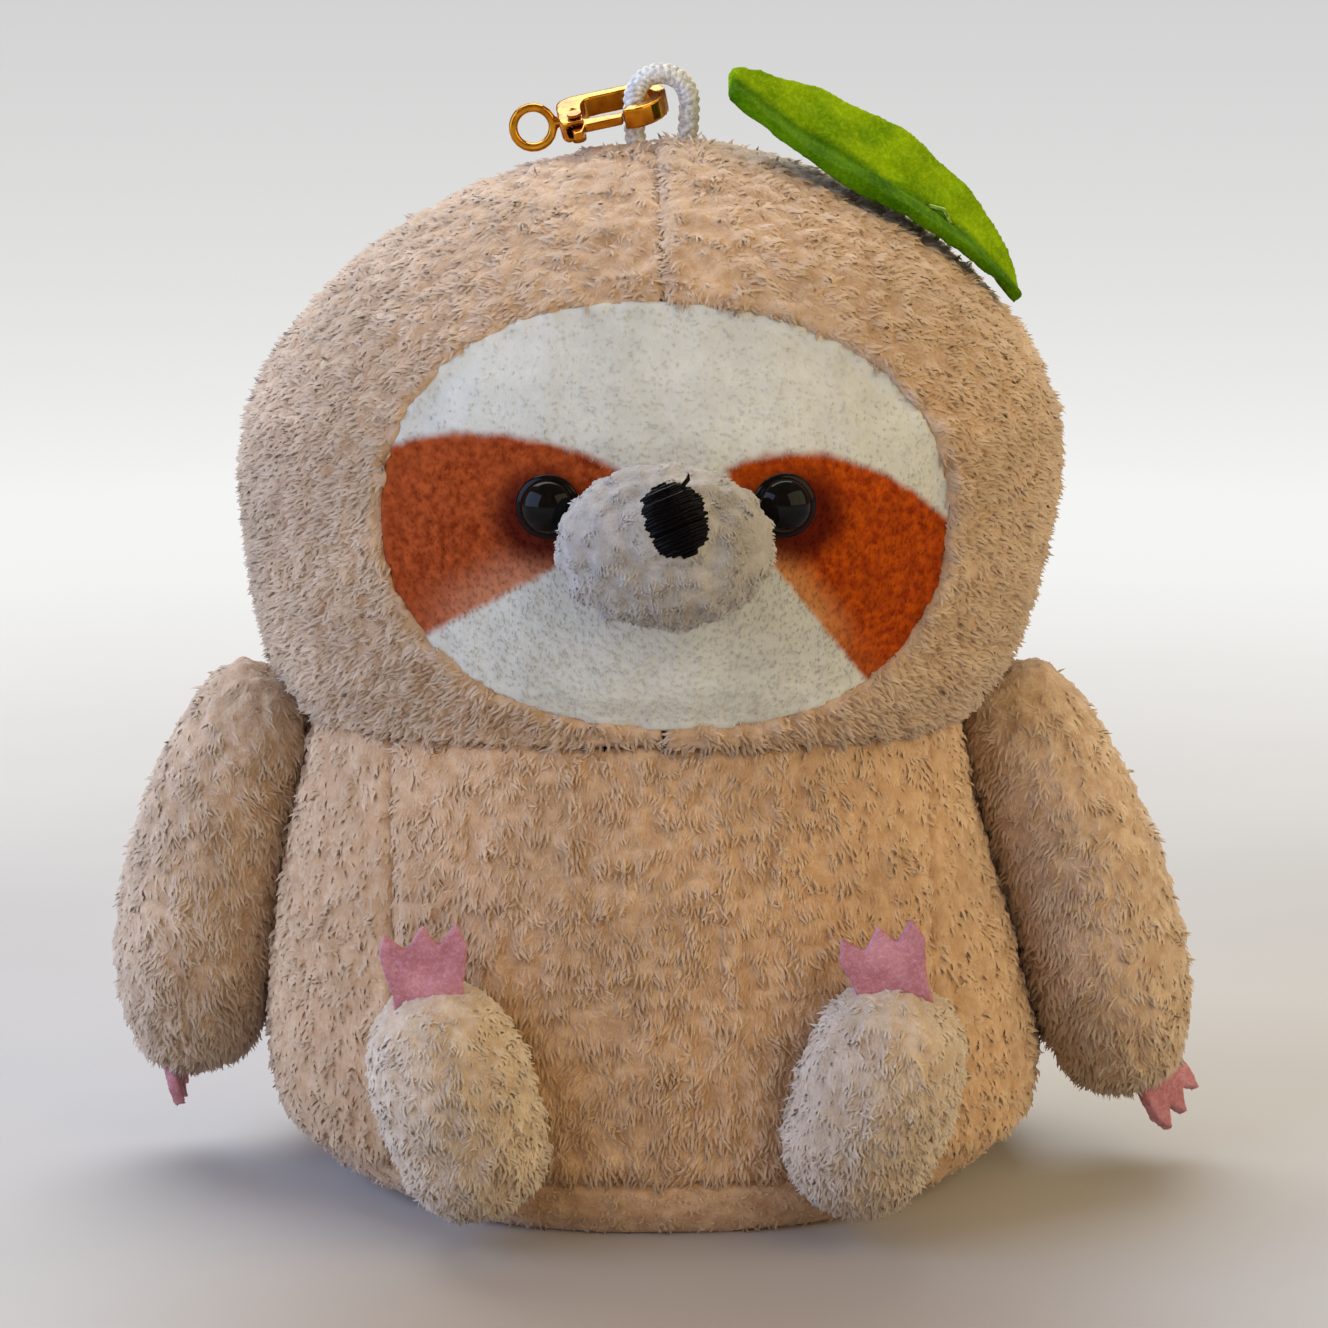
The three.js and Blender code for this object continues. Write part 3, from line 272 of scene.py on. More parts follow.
def felt_grain():
    """Colours and relief of pressed felt: matted hairs that lie every way, and small pits."""
    given = {"Dark": (COLOUR,), "Light": (COLOUR,)}
    result = {"Color": COLOUR, "Height": NUMBER}
    group, inputs, outputs = new_group("felt grain", "ShaderNodeTree", given, result)
    place = object_place(group)
    hairs = []
    for turn in (0.4, 1.5, 2.6):
        drawn = {"Vector": place, "Rotation": (turn, turn, 0.7), "Scale": (1, 0.12, 1)}
        turned = node(group, "ShaderNodeMapping", drawn).outputs[0]
        hairs.append(noise_at(group, turned, 2500.0, 3.0))
    matted = sum_of(group, "MAXIMUM", sum_of(group, "MAXIMUM", hairs[0], hairs[1]), hairs[2])
    matted = stretched(group, matted, 0.5, 0.75)
    clouds = stretched(group, noise_at(group, place, 260.0, 3.0), 0.35, 0.65)
    share = sum_of(group, "MULTIPLY_ADD", clouds, 0.5, sum_of(group, "MULTIPLY", matted, 0.5))
    group.links.new(blended(group, share, inputs["Dark"], inputs["Light"]), outputs["Color"])
    group.links.new(matted, outputs["Height"])
    return group


PATCH_SOFT = 0.55  # millimetres over which an eye patch fades out at its edge
PILE_TONES, PRINTED_PATCH, FELT_GRAIN = pile_tones(), printed_patch(), felt_grain()


def use_group(tree, group, **values):
    made = node(tree, "ShaderNodeGroup", node_tree=group)
    for label, value in values.items():
        socket = made.inputs[label.replace("_", " ")]
        if isinstance(value, bpy.types.NodeSocket):
            tree.links.new(value, socket)
        else:
            socket.default_value = value
    return made.outputs


def new_material(name, **sockets):
    """A material with its shader's plain values set, its node tree and its shader."""
    made = bpy.data.materials.new(name)
    made.use_nodes = True
    shader = made.node_tree.nodes["Principled BSDF"]
    for label, value in sockets.items():
        shader.inputs[label.replace("_", " ")].default_value = value
    return made, made.node_tree, shader


def plush_material(name, deep, pale, fleck=800.0):
    sockets = dict(Roughness=0.9, Sheen_Weight=0.25, Sheen_Roughness=0.6, Specular_IOR_Level=0.2)
    made, tree, shader = new_material(name, **sockets)
    colour = use_group(tree, PILE_TONES, Deep=deep, Pale=pale, Fleck=fleck)["Color"]
    tree.links.new(colour, shader.inputs["Base Color"])
    root = attribute(tree, "root").outputs["Vector"]
    add_relief(tree, 0.6, 0.25 * MM, noise_at(tree, root, 1500.0, 3.0, 0.6))
    return made


def face_material():
    """White plush with the brown eye patches printed on it, and shade painted round the eyes, where
    they are darkest.
    """
    sockets = dict(Roughness=0.95, Sheen_Weight=0.04, Sheen_Roughness=0.6, Specular_IOR_Level=0.08)
    made, tree, shader = new_material("white_plush_printed", **sockets)
    white = dict(Deep=tone(205, 204, 193), Pale=tone(227, 227, 217), Fleck=1100.0)
    colour = use_group(tree, PILE_TONES, **white)["Color"]
    root = attribute(tree, "root").outputs["Vector"]
    speckle = stretched(tree, noise_at(tree, root, 1300.0, 3.0), 0.35, 0.65)
    cloud = stretched(tree, noise_at(tree, root, 240.0, 2.0), 0.35, 0.65)
    for patch in EYE_PATCHES:
        mask = use_group(tree, PRINTED_PATCH, **patch["edges"])
        rust = blended(tree, speckle, patch["dark"], patch["light"])
        rust = blended(tree, sum_of(tree, "MULTIPLY", cloud, 0.45), rust, patch["cloud"])
        low = stretched(tree, mask["Above Foot"], 0.0, 5.5, 0.75, 0.0, smooth=True)
        near = distance(tree, root, patch["fade"])
        near = stretched(tree, near, 2 * MM, 9 * MM, 1.0, 0.15, smooth=True)
        rust = blended(tree, sum_of(tree, "MULTIPLY", low, near), rust, patch["faded"])
        # Painted shade round the eye: the patch darkens towards the eye's rim.
        painted_eye_shade = distance(tree, root, patch["painted_eye_shade"])
        painted_eye_shade = stretched(tree, painted_eye_shade, 2.6 * MM, 5.4 * MM, 0.92, 0.0, smooth=True)
        rust = blended(tree, painted_eye_shade, rust, tone(74, 8, 0))
        colour = blended(tree, mask["Mask"], colour, rust)
    tree.links.new(colour, shader.inputs["Base Color"])
    combed = node(tree, "ShaderNodeMapping", {"Vector": root, "Scale": (1, 1, 0.3)}).outputs[0]
    add_relief(tree, 0.5, 0.15 * MM, noise_at(tree, combed, 1500.0, 3.0, 0.6))
    return made


# The left patch and the right one: edges in millimetres, colours, the place towards which
# it fades and the place round which shade is painted darkest
EYE_PATCHES = (
    {
        "edges": dict(
            Side=-1.0, Top=70.4, Top_Middle=15.5, Top_Bend=0.022,
            Foot=64.5, Foot_Slope=-0.573, Inner=4.0,
        ),
        "dark": tone(130, 46, 8),
        "light": tone(178, 82, 36),
        "cloud": tone(160, 74, 34),
        "fade": (-14 * MM, -28 * MM, 57 * MM),
        "faded": tone(205, 140, 105),
        "painted_eye_shade": (-10.6 * MM, -29 * MM, 63.4 * MM),
    },
    {
        "edges": dict(
            Side=1.0, Top=68.8, Top_Middle=11.0, Top_Bend=0.036,
            Foot=70.95, Foot_Slope=-1.287, Inner=5.2,
        ),
        "dark": tone(138, 40, 0),
        "light": tone(190, 80, 4),
        "cloud": tone(164, 66, 0),
        "fade": (12 * MM, -28 * MM, 57 * MM),
        "faded": tone(212, 150, 90),
        "painted_eye_shade": (11.4 * MM, -29 * MM, 63.2 * MM),
    },
)


def felt_material(name, dark, light):
    sockets = dict(Roughness=0.85, Sheen_Weight=0.1, Sheen_Roughness=0.5, Specular_IOR_Level=0.12)
    made, tree, shader = new_material(name, **sockets)
    grain = use_group(tree, FELT_GRAIN, Dark=dark, Light=light)
    tree.links.new(grain["Color"], shader.inputs["Base Color"])
    add_relief(tree, 0.5, 0.12 * MM, grain["Height"])
    return made


LEAF_PAINTED_SHADE = (-3.0 * MM, -3.9 * MM)  # from where to where the painted shade on the front flap deepens, towards the front


def leaf_material():
    """Green felt, with painted shade in front of its fold that makes it darker there than on the half
    that is folded up.
    """
    made, tree, shader = new_material("green_felt", Roughness=0.95, Specular_IOR_Level=0.05)
    light = use_group(tree, FELT_GRAIN, Dark=tone(96, 134, 0), Light=tone(158, 190, 4))
    # A lit copy of the felt and a shaded copy, which paints shade on the flap in front of the fold.
    dark = use_group(tree, FELT_GRAIN, Dark=tone(54, 94, 0), Light=tone(98, 140, 4))
    front = stretched(tree, parts_of(tree, object_place(tree))[1], *LEAF_PAINTED_SHADE)
    colour = blended(tree, front, light["Color"], dark["Color"])
    tree.links.new(colour, shader.inputs["Base Color"])
    add_relief(tree, 0.5, 0.12 * MM, light["Height"])
    return made


def thread_material(name, dark, light, roughness, gloss=0.5):
    """Twisted thread, finely mottled."""
    made, tree, shader = new_material(name, Roughness=roughness, Specular_IOR_Level=gloss)
    fine = stretched(tree, noise_at(tree, object_place(tree), 2200.0, 3.0), 0.35, 0.65)
    tree.links.new(blended(tree, fine, dark, light), shader.inputs["Base Color"])
    add_relief(tree, 0.35, 0.05 * MM, fine)
    return made


def metal_material(name, worn, bright, roughness):
    """Plated metal, polished unevenly and darker where it is handled less."""
    made, tree, shader = new_material(name, Metallic=1.0)
    place = object_place(tree)
    cast = stretched(tree, noise_at(tree, place, 420.0, 3.0), 0.35, 0.65)
    fine = stretched(tree, noise_at(tree, place, 3200.0, 2.0), 0.3, 0.7)
    tree.links.new(blended(tree, cast, worn, bright), shader.inputs["Base Color"])
    rough = stretched(tree, fine, 0.0, 1.0, roughness * 0.7, roughness * 1.5)
    tree.links.new(rough, shader.inputs["Roughness"])
    add_relief(tree, 0.25, 0.06 * MM, cast)
    return made


def eye_material():
    """Black moulded plastic with a clear, slightly uneven gloss."""
    made, tree, shader = new_material("black_plastic", Specular_IOR_Level=0.14)
    dust = stretched(tree, noise_at(tree, object_place(tree), 1600.0, 3.0), 0.45, 0.75)
    colour = blended(tree, dust, tone(3, 2, 3), tone(14, 11, 10))
    tree.links.new(colour, shader.inputs["Base Color"])
    tree.links.new(stretched(tree, dust, 0.0, 1.0, 0.05, 0.12), shader.inputs["Roughness"])
    return made


def clear_material():
    """Milky clear plastic of the washers."""
    made, tree, shader = new_material(
        "clear_plastic", Transmission_Weight=0.6, Specular_IOR_Level=0.5
    )
    flow = stretched(tree, noise_at(tree, object_place(tree), 500.0, 2.0), 0.3, 0.7)
    colour = blended(tree, flow, tone(205, 208, 208), tone(232, 234, 232))
    tree.links.new(colour, shader.inputs["Base Color"])
    tree.links.new(stretched(tree, flow, 0.0, 1.0, 0.2, 0.4), shader.inputs["Roughness"])
    return made


MATERIALS = {
    "hood": plush_material("beige_plush_hood", tone(178, 138, 98), tone(240, 212, 180)),
    "body": plush_material("beige_plush_body", tone(180, 136, 92), tone(246, 212, 174)),
    "limb": plush_material("beige_plush_limbs", tone(172, 134, 96), tone(248, 222, 192)),
    "foot": plush_material("cream_plush_feet", tone(182, 152, 120), tone(248, 230, 206)),
    "face": face_material(),
    "muzzle": plush_material("grey_plush", tone(148, 139, 128), tone(212, 205, 195), 1100.0),
    "leaf": leaf_material(),
    "claw": felt_material("pink_felt", tone(168, 106, 116), tone(220, 160, 170)),
    "nose": thread_material("black_thread", tone(2, 1, 2), tone(8, 5, 7), 0.16, gloss=0.06),
    "tack": thread_material("green_thread", tone(80, 130, 10), tone(170, 200, 60), 0.5),
    "cord": thread_material("white_cord", tone(188, 188, 186), tone(244, 244, 240), 0.7),
    "gold": metal_material("gold_plating", tone(150, 88, 14), tone(212, 146, 42), 0.16),
    "steel": metal_material("spring_steel", tone(140, 140, 142), tone(190, 190, 192), 0.3),
    "eye": eye_material(),
    "clear": clear_material(),
}


# Meshes


def new_piece(name, shape, material):
    """The bmesh becomes an object of that name."""
    mesh = bpy.data.meshes.new(name)
    shape.to_mesh(mesh)
    shape.free()
    piece = bpy.data.objects.new(name, mesh)
    SCENE.collection.objects.link(piece)
    mesh.materials.append(material)
    return piece


def merged_copy(nodes, half=0):
    """Copies of CAD nodes in one bmesh, their corners joined. A half keeps one side only."""
    shape = bmesh.new()
    for name in nodes:
        shape.from_mesh(frame["nodes"][name].data)
    bmesh.ops.remove_doubles(shape, verts=shape.verts, dist=WELD)
    if half:
        found = bmesh.ops.bisect_plane(
            shape,
            geom=shape.verts[:] + shape.edges[:] + shape.faces[:],
            plane_co=(half * HALF_SET, 0, 0),
            plane_no=(-half, 0, 0),
            clear_outer=True,
        )
        rim = [e for e in found["geom_cut"] if isinstance(e, bmesh.types.BMEdge)]
        bmesh.ops.holes_fill(shape, edges=rim)
        bmesh.ops.triangulate(shape, faces=shape.faces)
    return shape


def settle(piece):
    """What the modifiers make becomes the piece's own mesh."""
    graph = bpy.context.evaluated_depsgraph_get()
    mesh = bpy.data.meshes.new_from_object(piece.evaluated_get(graph))
    piece.modifiers.clear()
    piece.data = mesh


def modified(piece, *steps):
    """Puts modifiers on a piece, each a kind and its settings, and applies them."""
    for kind, settings in steps:
        modifier = piece.modifiers.new(kind, kind)
        for name, value in settings.items():
            setattr(modifier, name, value)
    settle(piece)


def neighbours(own, body):
    """A search tree over the CAD nodes that ride on that body, apart from a piece's own skin."""
    corners, faces = [], []
    for name, item in frame["nodes"].items():
        if name not in own and item["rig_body"] == body:
            start = len(corners)
            corners += [v.co.copy() for v in item.data.vertices]
            faces += [[start + i for i in p.vertices] for p in item.data.polygons]
    return BVHTree.FromPolygons(corners, faces) if faces else None


def open_shares(piece, own, body):
    """How open to the air each corner of a skin is: 0 against or inside a neighbour, 1 in the open."""
    tree = neighbours(own, body)
    shares = []
    for vertex in piece.data.vertices:
        start = vertex.co + vertex.normal * LOOK_FROM * MM
        hit = tree and tree.ray_cast(start, vertex.normal)
        covered = hit and hit[0] and (hit[3] < REACH or hit[1].dot(vertex.normal) > 0)
        shares.append(0.0 if covered else 1.0)
    return shares


def ringed(piece, shares, rounds):
    """Each corner's share becomes the least of its neighbours' shares, that many times over."""
    pairs = [tuple(e.vertices) for e in piece.data.edges]
    for _ in range(rounds):
        least = list(shares)
        for a, b in pairs:
            least[a] = min(least[a], shares[b])
            least[b] = min(least[b], shares[a])
        shares = least
    return shares


def weigh(piece, name, shares):
    group = piece.vertex_groups.new(name=name)
    for index, share in enumerate(shares):
        group.add([index], share, "REPLACE")


def pile_group():
    """Geometry nodes that grow a pile out of a skin, in tufts that lean with the nap."""
    given = {
        "Geometry": (GEOMETRY,),
        "Density": (NUMBER, 6.0),
        "Length": (NUMBER, 1.2),
        "Nap": (VECTOR,),
        "Tuft": (NUMBER, 1.6),
        "Gather": (NUMBER, 0.5),
        "Stray": (NUMBER, 0.4),
        "Width": (NUMBER, 1.0),
        "Relief": (NUMBER, 0.3),
        "Parting": (NUMBER, 0.001),
        "Swirl": (NUMBER, 2.6),
        "Upright": (NUMBER, 0.14),
        "Seed": (COUNT, 1),
        "Material": (MATERIAL,),
    }
    group, inputs, outputs = new_group("pile", "GeometryNodeTree", given, {"Geometry": GEOMETRY})
    place = node(group, "GeometryNodeInputPosition").outputs[0]
    tuft_scale = sum_of(group, "DIVIDE", 1 / MM, inputs["Tuft"])
    tuft = node(group, "ShaderNodeTexVoronoi", {"Vector": place, "Scale": tuft_scale}).outputs
    inward = scaled(group, vectors(group, "SUBTRACT", tuft["Position"], place), 1 / MM)

    def stored(geometry, name, value, kind="FLOAT"):
        given = {"Geometry": geometry, "Name": name, "Value": value}
        return node(group, "GeometryNodeStoreNamedAttribute", given, data_type=kind).outputs[0]

    open_air = {"Name": "open"}
    open_air = node(group, "GeometryNodeInputNamedAttribute", open_air, data_type="FLOAT")
    open_air = open_air.outputs[0]
    normal = node(group, "GeometryNodeInputNormal").outputs[0]
    swollen = stretched(group, tuft["Distance"], 0.0, 0.7, 0.5, -0.5)
    swollen = sum_of(group, "MULTIPLY", swollen, open_air)
    relief = sum_of(group, "MULTIPLY", inputs["Relief"], MM)
    relief = sum_of(group, "MULTIPLY", swollen, relief)
    skin = {"Geometry": inputs["Geometry"], "Offset": scaled(group, normal, relief)}
    skin = node(group, "GeometryNodeSetPosition", skin).outputs[0]
    skin = stored(skin, "root", place, "FLOAT_VECTOR")
    skin = stored(skin, "lay", normal, "FLOAT_VECTOR")
    density = sum_of(group, "DIVIDE", inputs["Density"], MM * MM)
    density = sum_of(group, "MULTIPLY", open_air, density)
    scatter = {"Mesh": skin, "Density": density, "Seed": inputs["Seed"]}
    scatter = node(group, "GeometryNodeDistributePointsOnFaces", scatter).outputs

    def chance(low, high, seed, kind="FLOAT"):
        first = 0 if kind == "FLOAT_VECTOR" else 2
        values = {first: low, first + 1: high, "Seed": seed}
        drawn = node(group, "FunctionNodeRandomValue", values, data_type=kind).outputs
        return drawn[0 if kind == "FLOAT_VECTOR" else 1]

    stray = scaled(group, chance((-1, -1, -1), (1, 1, 1), 3, "FLOAT_VECTOR"), inputs["Stray"])
    aside = sum_of(group, "ABSOLUTE", parts_of(group, place)[0])
    aside = sum_of(group, "DIVIDE", aside, MM)
    combed = stretched(group, aside, 0.0, inputs["Parting"], -0.7, 1.0)
    combed = vector_of(group, combed, 1.0, 1.0)
    upright = scaled(group, scatter["Normal"], inputs["Upright"])
    nap = scaled(group, vectors(group, "MULTIPLY", inputs["Nap"], combed), 0.65)
    lean = vectors(group, "ADD", upright, nap)
    lean = vectors(group, "ADD", lean, scaled(group, inward, inputs["Gather"]))
    curl_scale = sum_of(group, "MULTIPLY", tuft_scale, 0.55)
    curl = {"Vector": place, "Scale": curl_scale, "Detail": 1.0}
    curl = node(group, "ShaderNodeTexNoise", curl).outputs["Color"]
    curl = vectors(group, "SUBTRACT", curl, (0.5, 0.5, 0.5))
    lean = vectors(group, "ADD", lean, scaled(group, curl, inputs["Swirl"]))
    lean = vectors(group, "ADD", lean, stray)
    turn = node(group, "FunctionNodeAlignRotationToVector", {"Vector": lean}, axis="Z").outputs[0]
    twist = {"Rotation": turn, "Vector": scatter["Normal"]}
    turn = node(group, "FunctionNodeAlignRotationToVector", twist, axis="X", pivot_axis="Z").outputs[0]
    tuft_tone = parts_of(group, tuft["Color"])[0]
    # Painted shade between the tufts: a fibre rooted near the edge of its tuft is darker than one in
    # its middle; the tuft's tone and a random share differ at random.
    middle = stretched(group, tuft["Distance"], 0.25, 0.7, 0.4, 0.0)
    shade = sum_of(group, "MULTIPLY_ADD", tuft_tone, 0.4, chance(0.0, 0.2, 5))
    shade = sum_of(group, "ADD", shade, middle)
    shaded = stored(scatter["Points"], "shade", shade)
    length = sum_of(group, "MULTIPLY", inputs["Length"], chance(0.65, 1.1, 7))
    length = sum_of(group, "MULTIPLY", length, stretched(group, tuft_tone, 0.0, 1.0, 0.8, 1.1))
    width = sum_of(group, "MULTIPLY", inputs["Width"], chance(0.7, 1.3, 9))
    cone = {
        "Vertices": 3,
        "Side Segments": 2,
        "Fill Segments": 1,
        "Radius Top": 0.0,
        "Radius Bottom": FIBRE_RADIUS,
        "Depth": MM,
    }
    fibre = node(group, "GeometryNodeMeshCone", cone).outputs["Mesh"]
    height = sum_of(group, "DIVIDE", parts_of(group, place)[2], MM)
    fibre = stored(fibre, "tip", height)
    bow = sum_of(group, "SUBTRACT", 4.0, sum_of(group, "MULTIPLY", height, 4.0))
    bow = sum_of(group, "MULTIPLY", height, bow)
    full = sum_of(group, "MULTIPLY", bow, FIBRE_FULLNESS)
    full = vector_of(group, full, full)
    arched = vector_of(group, sum_of(group, "MULTIPLY", bow, FIBRE_ARCH))
    bent = vectors(group, "ADD", vectors(group, "MULTIPLY", place, full), arched)
    fibre = node(group, "GeometryNodeSetPosition", {"Geometry": fibre, "Offset": bent}).outputs[0]
    size = vector_of(group, width, width, length)
    fibres = {"Points": shaded, "Instance": fibre, "Rotation": turn, "Scale": size}
    fibres = node(group, "GeometryNodeInstanceOnPoints", fibres).outputs[0]
    fibres = node(group, "GeometryNodeRealizeInstances", {0: fibres}).outputs[0]
    both = node(group, "GeometryNodeJoinGeometry")
    for part in (skin, fibres):
        group.links.new(part, both.inputs[0])
    smooth = {0: both.outputs[0], "Shade Smooth": True}
    smooth = node(group, "GeometryNodeSetShadeSmooth", smooth).outputs[0]
    lay = {"Name": "lay"}
    lay = node(group, "GeometryNodeInputNamedAttribute", lay, data_type="FLOAT_VECTOR").outputs[0]
    soft = vectors(group, "ADD", scaled(group, lay, SOFTNESS), normal)
    lit = node(group, "GeometryNodeSetMeshNormal", mode="TANGENT_SPACE")
    group.links.new(smooth, lit.inputs[0])
    group.links.new(vectors(group, "NORMALIZE", soft), lit.inputs["Custom Normal"])
    bare = {"Geometry": lit.outputs[0], "Name": "lay"}
    bare = node(group, "GeometryNodeRemoveAttribute", bare).outputs[0]
    done = {"Geometry": bare, "Material": inputs["Material"]}
    done = node(group, "GeometryNodeSetMaterial", done).outputs[0]
    group.links.new(done, outputs["Geometry"])
    return group


PILE = pile_group()


def grow_pile(piece, **values):
    """Grows a pile on the open part of a skin."""
    modifier = piece.modifiers.new("pile", "NODES")
    modifier.node_group = PILE
    values["Material"] = piece.data.materials[0]
    for item in PILE.interface.items_tree:
        if item.in_out == "INPUT" and item.name in values:
            modifier[item.identifier] = values[item.name]
    settle(piece)


# Plush pieces. The first of the nodes is the skin and the others fill it. The nap is the way
# that the pile leans. Inset and close are how far the skin is drawn in where it is open to the
# air, and pushed out where a neighbour covers it. All lengths here are in millimetres, and
# what is thin isn't filled.

HOOD = dict(
    body="toy", look="hood", slot="beige_plush", fine=True, close=0.5,
    density=4.7, length=1.15, width=1.35, tuft=1.5, relief=0.55, parting=9,
)
BODY = dict(
    body="toy", look="body", slot="beige_plush", fine=True, inset=-0.3, close=0.7,
    length=1.15, tuft=1.5, relief=0.45, nap=(0, 0, -1.3),
)
ARM = dict(
    look="limb", slot="beige_plush", inset=-0.55,
    density=6, length=1.2, width=1.25, tuft=1.5, relief=0.45, nap=(0, 0, -1.2),
)
LEG = dict(
    look="foot", slot="cream_plush", inset=-0.55,
    density=7.5, length=1.0, width=1.15, relief=0.45, nap=(0, 0, -1.0),
)
USUAL_PILE = dict(
    tuft=1.35, gather=0.35, width=1.0, relief=0.3, parting=0.001, swirl=2.1, upright=0.14,
)
PLUSH_PIECES = {
    "hood_left_plush": dict(
        HOOD, nodes=["hood_left", "head_filling"], half=-1, inset=0.3, nap=(-1.1, 0.05, -0.7),
    ),
    "hood_right_plush": dict(
        HOOD, nodes=["hood_right", "head_filling"], half=1, inset=-0.2, nap=(1.1, 0.05, -0.7),
    ),
    "face_plush": dict(
        nodes=["face_panel"], body="toy", look="face", slot="white_plush",
        thin=True, fine=True, inset=0.2, close=0.45,
        density=5, length=0.5, width=0.5, tuft=1.1, relief=0.1, nap=(0, -0.1, -1.0),
        gather=0.25, swirl=0.9, upright=0.04,
    ),
    "muzzle_plush": dict(
        nodes=["muzzle_cover", "muzzle_filling"], body="toy", look="muzzle", slot="grey_plush",
        thin=True, fine=True, inset=-0.1, close=0.4,
        density=13, length=0.6, width=0.8, tuft=1.7, relief=0.6, nap=(0, 0.2, -0.9),
        gather=0.6, swirl=2.6, upright=0.08,
    ),
    "body_back_plush": dict(
        BODY, nodes=["body_back_panel", "body_filling", "pellet_bag"], density=3.0, width=1.6,
    ),
    "body_front_plush": dict(BODY, nodes=["body_front_panel"], thin=True, density=7, width=1.2),
    "base_plush": dict(
        nodes=["base_panel"], body="toy", look="body", slot="beige_plush",
        thin=True, fine=True, pressed=True, inset=-0.1, close=0.5,
        density=3, length=0.6, nap=(0, 0, -0.3),
    ),
    "arm_left_plush": dict(ARM, nodes=["arm_left_cover", "arm_left_filling"], body="arm_left"),
    "arm_right_plush": dict(ARM, nodes=["arm_right_cover", "arm_right_filling"], body="arm_right"),
    "leg_left_plush": dict(LEG, nodes=["leg_left_cover", "leg_left_filling"], body="leg_left"),
    "leg_right_plush": dict(LEG, nodes=["leg_right_cover", "leg_right_filling"], body="leg_right"),
}


def cut_skin(name, facts):
    """The skin and its filling in one closed form, drawn in or out where no neighbour covers it."""
    shape = merged_copy(facts["nodes"][:1])
    if facts["nodes"][1:]:
        filling = bpy.data.meshes.new("filling")
        inner = merged_copy(facts["nodes"][1:], facts.get("half", 0))
        inner.to_mesh(filling)
        inner.free()
        shape.from_mesh(filling)
    piece = new_piece(name, shape, MATERIALS[facts["look"]])
    fine = facts.get("fine", False)
    grain, rounds = (FINE, 4) if fine else (COARSE, 2)
    modified(piece, ("REMESH", {"mode": "VOXEL", "voxel_size": grain, "use_smooth_shade": True}))
    shares = open_shares(piece, facts["nodes"][:1], facts["body"])
    pressed = facts.get("pressed", False)
    flat = [pressed and vertex.normal.z < FACES_DOWN for vertex in piece.data.vertices]
    shares = [0.0 if down else share for down, share in zip(flat, shares)]
    covered = [0.0 if down else 1 - share for down, share in zip(flat, shares)]
    held = [1 - share for share in ringed(piece, shares, rounds)]
    weigh(piece, "open", shares)
    weigh(piece, "held", held)
    weigh(piece, "loose", [1 - share for share in held])
    weigh(piece, "covered", covered)
    slack = 0 if facts.get("thin") else SLACK
    close = facts.get("close", 0) * MM
    moves = [(-facts["inset"] * MM, "open"), (-slack, "loose"), (close, "covered")]
    steps = [
        ("DISPLACE", {"strength": strength, "mid_level": 0.0, "vertex_group": group})
        for strength, group in moves
    ]
    modified(piece, *steps, ("SMOOTH", {"factor": 0.5, "iterations": rounds}))
    return piece


def fill_skins(pieces):
    """Swells the skins with Cloth, their seams held, and caps how far a point moves."""
    before = {}
    for piece in pieces:
        before[piece.name] = [v.co.copy() for v in piece.data.vertices]
        cloth = piece.modifiers.new("swell", "CLOTH").settings
        cloth.use_pressure = True
        cloth.uniform_pressure_force = PRESSURE
        cloth.vertex_group_mass = "held"
        cloth.effector_weights.gravity = 0
    for number in range(1, FRAMES + 1):
        SCENE.frame_set(number)
    for piece in pieces:
        settle(piece)
        for vertex, start in zip(piece.data.vertices, before[piece.name]):
            moved = vertex.co - start
            if moved.length > SWELL:
                vertex.co = start + moved * (SWELL / moved.length)
    SCENE.frame_set(1)


def make_plush():
    made = {name: cut_skin(name, facts) for name, facts in PLUSH_PIECES.items()}
    fill_skins([made[name] for name, facts in PLUSH_PIECES.items() if not facts.get("thin")])
    for seed, (name, facts) in enumerate(PLUSH_PIECES.items(), start=1):
        piece = made[name]
        if not facts.get("fine"):
            modified(piece, ("SUBSURF", {"levels": 1, "render_levels": 1}))
        pile = {**USUAL_PILE, **facts}
        labels = ["density", "length", "nap", *USUAL_PILE]
        grow_pile(piece, Seed=seed, **{label.title(): pile[label] for label in labels})
        if facts.get("pressed"):
            for vertex in piece.data.vertices:
                vertex.co.z = max(vertex.co.z, 0.0)
        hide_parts(*facts["nodes"])
    return made


PLUSH = make_plush()
for name, facts in PLUSH_PIECES.items():
    if facts["body"] == "toy":
        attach(PLUSH[name], "toy")
for side, sign in SIDES.items():
    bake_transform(PLUSH[f"arm_{side}_plush"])
    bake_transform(PLUSH[f"leg_{side}_plush"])


# Felt

FUZZ = dict(Length=0.3, Nap=(0, 0, 0), Tuft=0.8, Gather=0.3, Stray=1.2, Width=0.2, Relief=0.04)


def felt_piece(name, node_name, body, look, grain, creases=(2.2, 0.25), fuzz=2.5):
    """A felt piece with softened edges and an uneven face. The creases are their size and
    depth in millimetres, and the fuzz is the number of hairs on a square millimetre."""
    piece = new_piece(name, merged_copy([node_name]), MATERIALS[look])
    lumps = bpy.data.textures.new(name + "_lumps", "CLOUDS")
    size, depth = creases
    lumps.noise_scale = size * MM
    uneven = {"texture": lumps, "texture_coords": "LOCAL", "strength": depth * MM, "mid_level": 0.5}
    modified(
        piece,
        ("REMESH", {"mode": "VOXEL", "voxel_size": grain, "use_smooth_shade": True}),
        ("SMOOTH", {"factor": 0.5, "iterations": 2}),
        ("DISPLACE", uneven),
    )
    weigh(piece, "open", [1.0] * len(piece.data.vertices))
    grow_pile(piece, Density=fuzz, Seed=len(name), **FUZZ)
    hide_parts(node_name)
    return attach(piece, body)


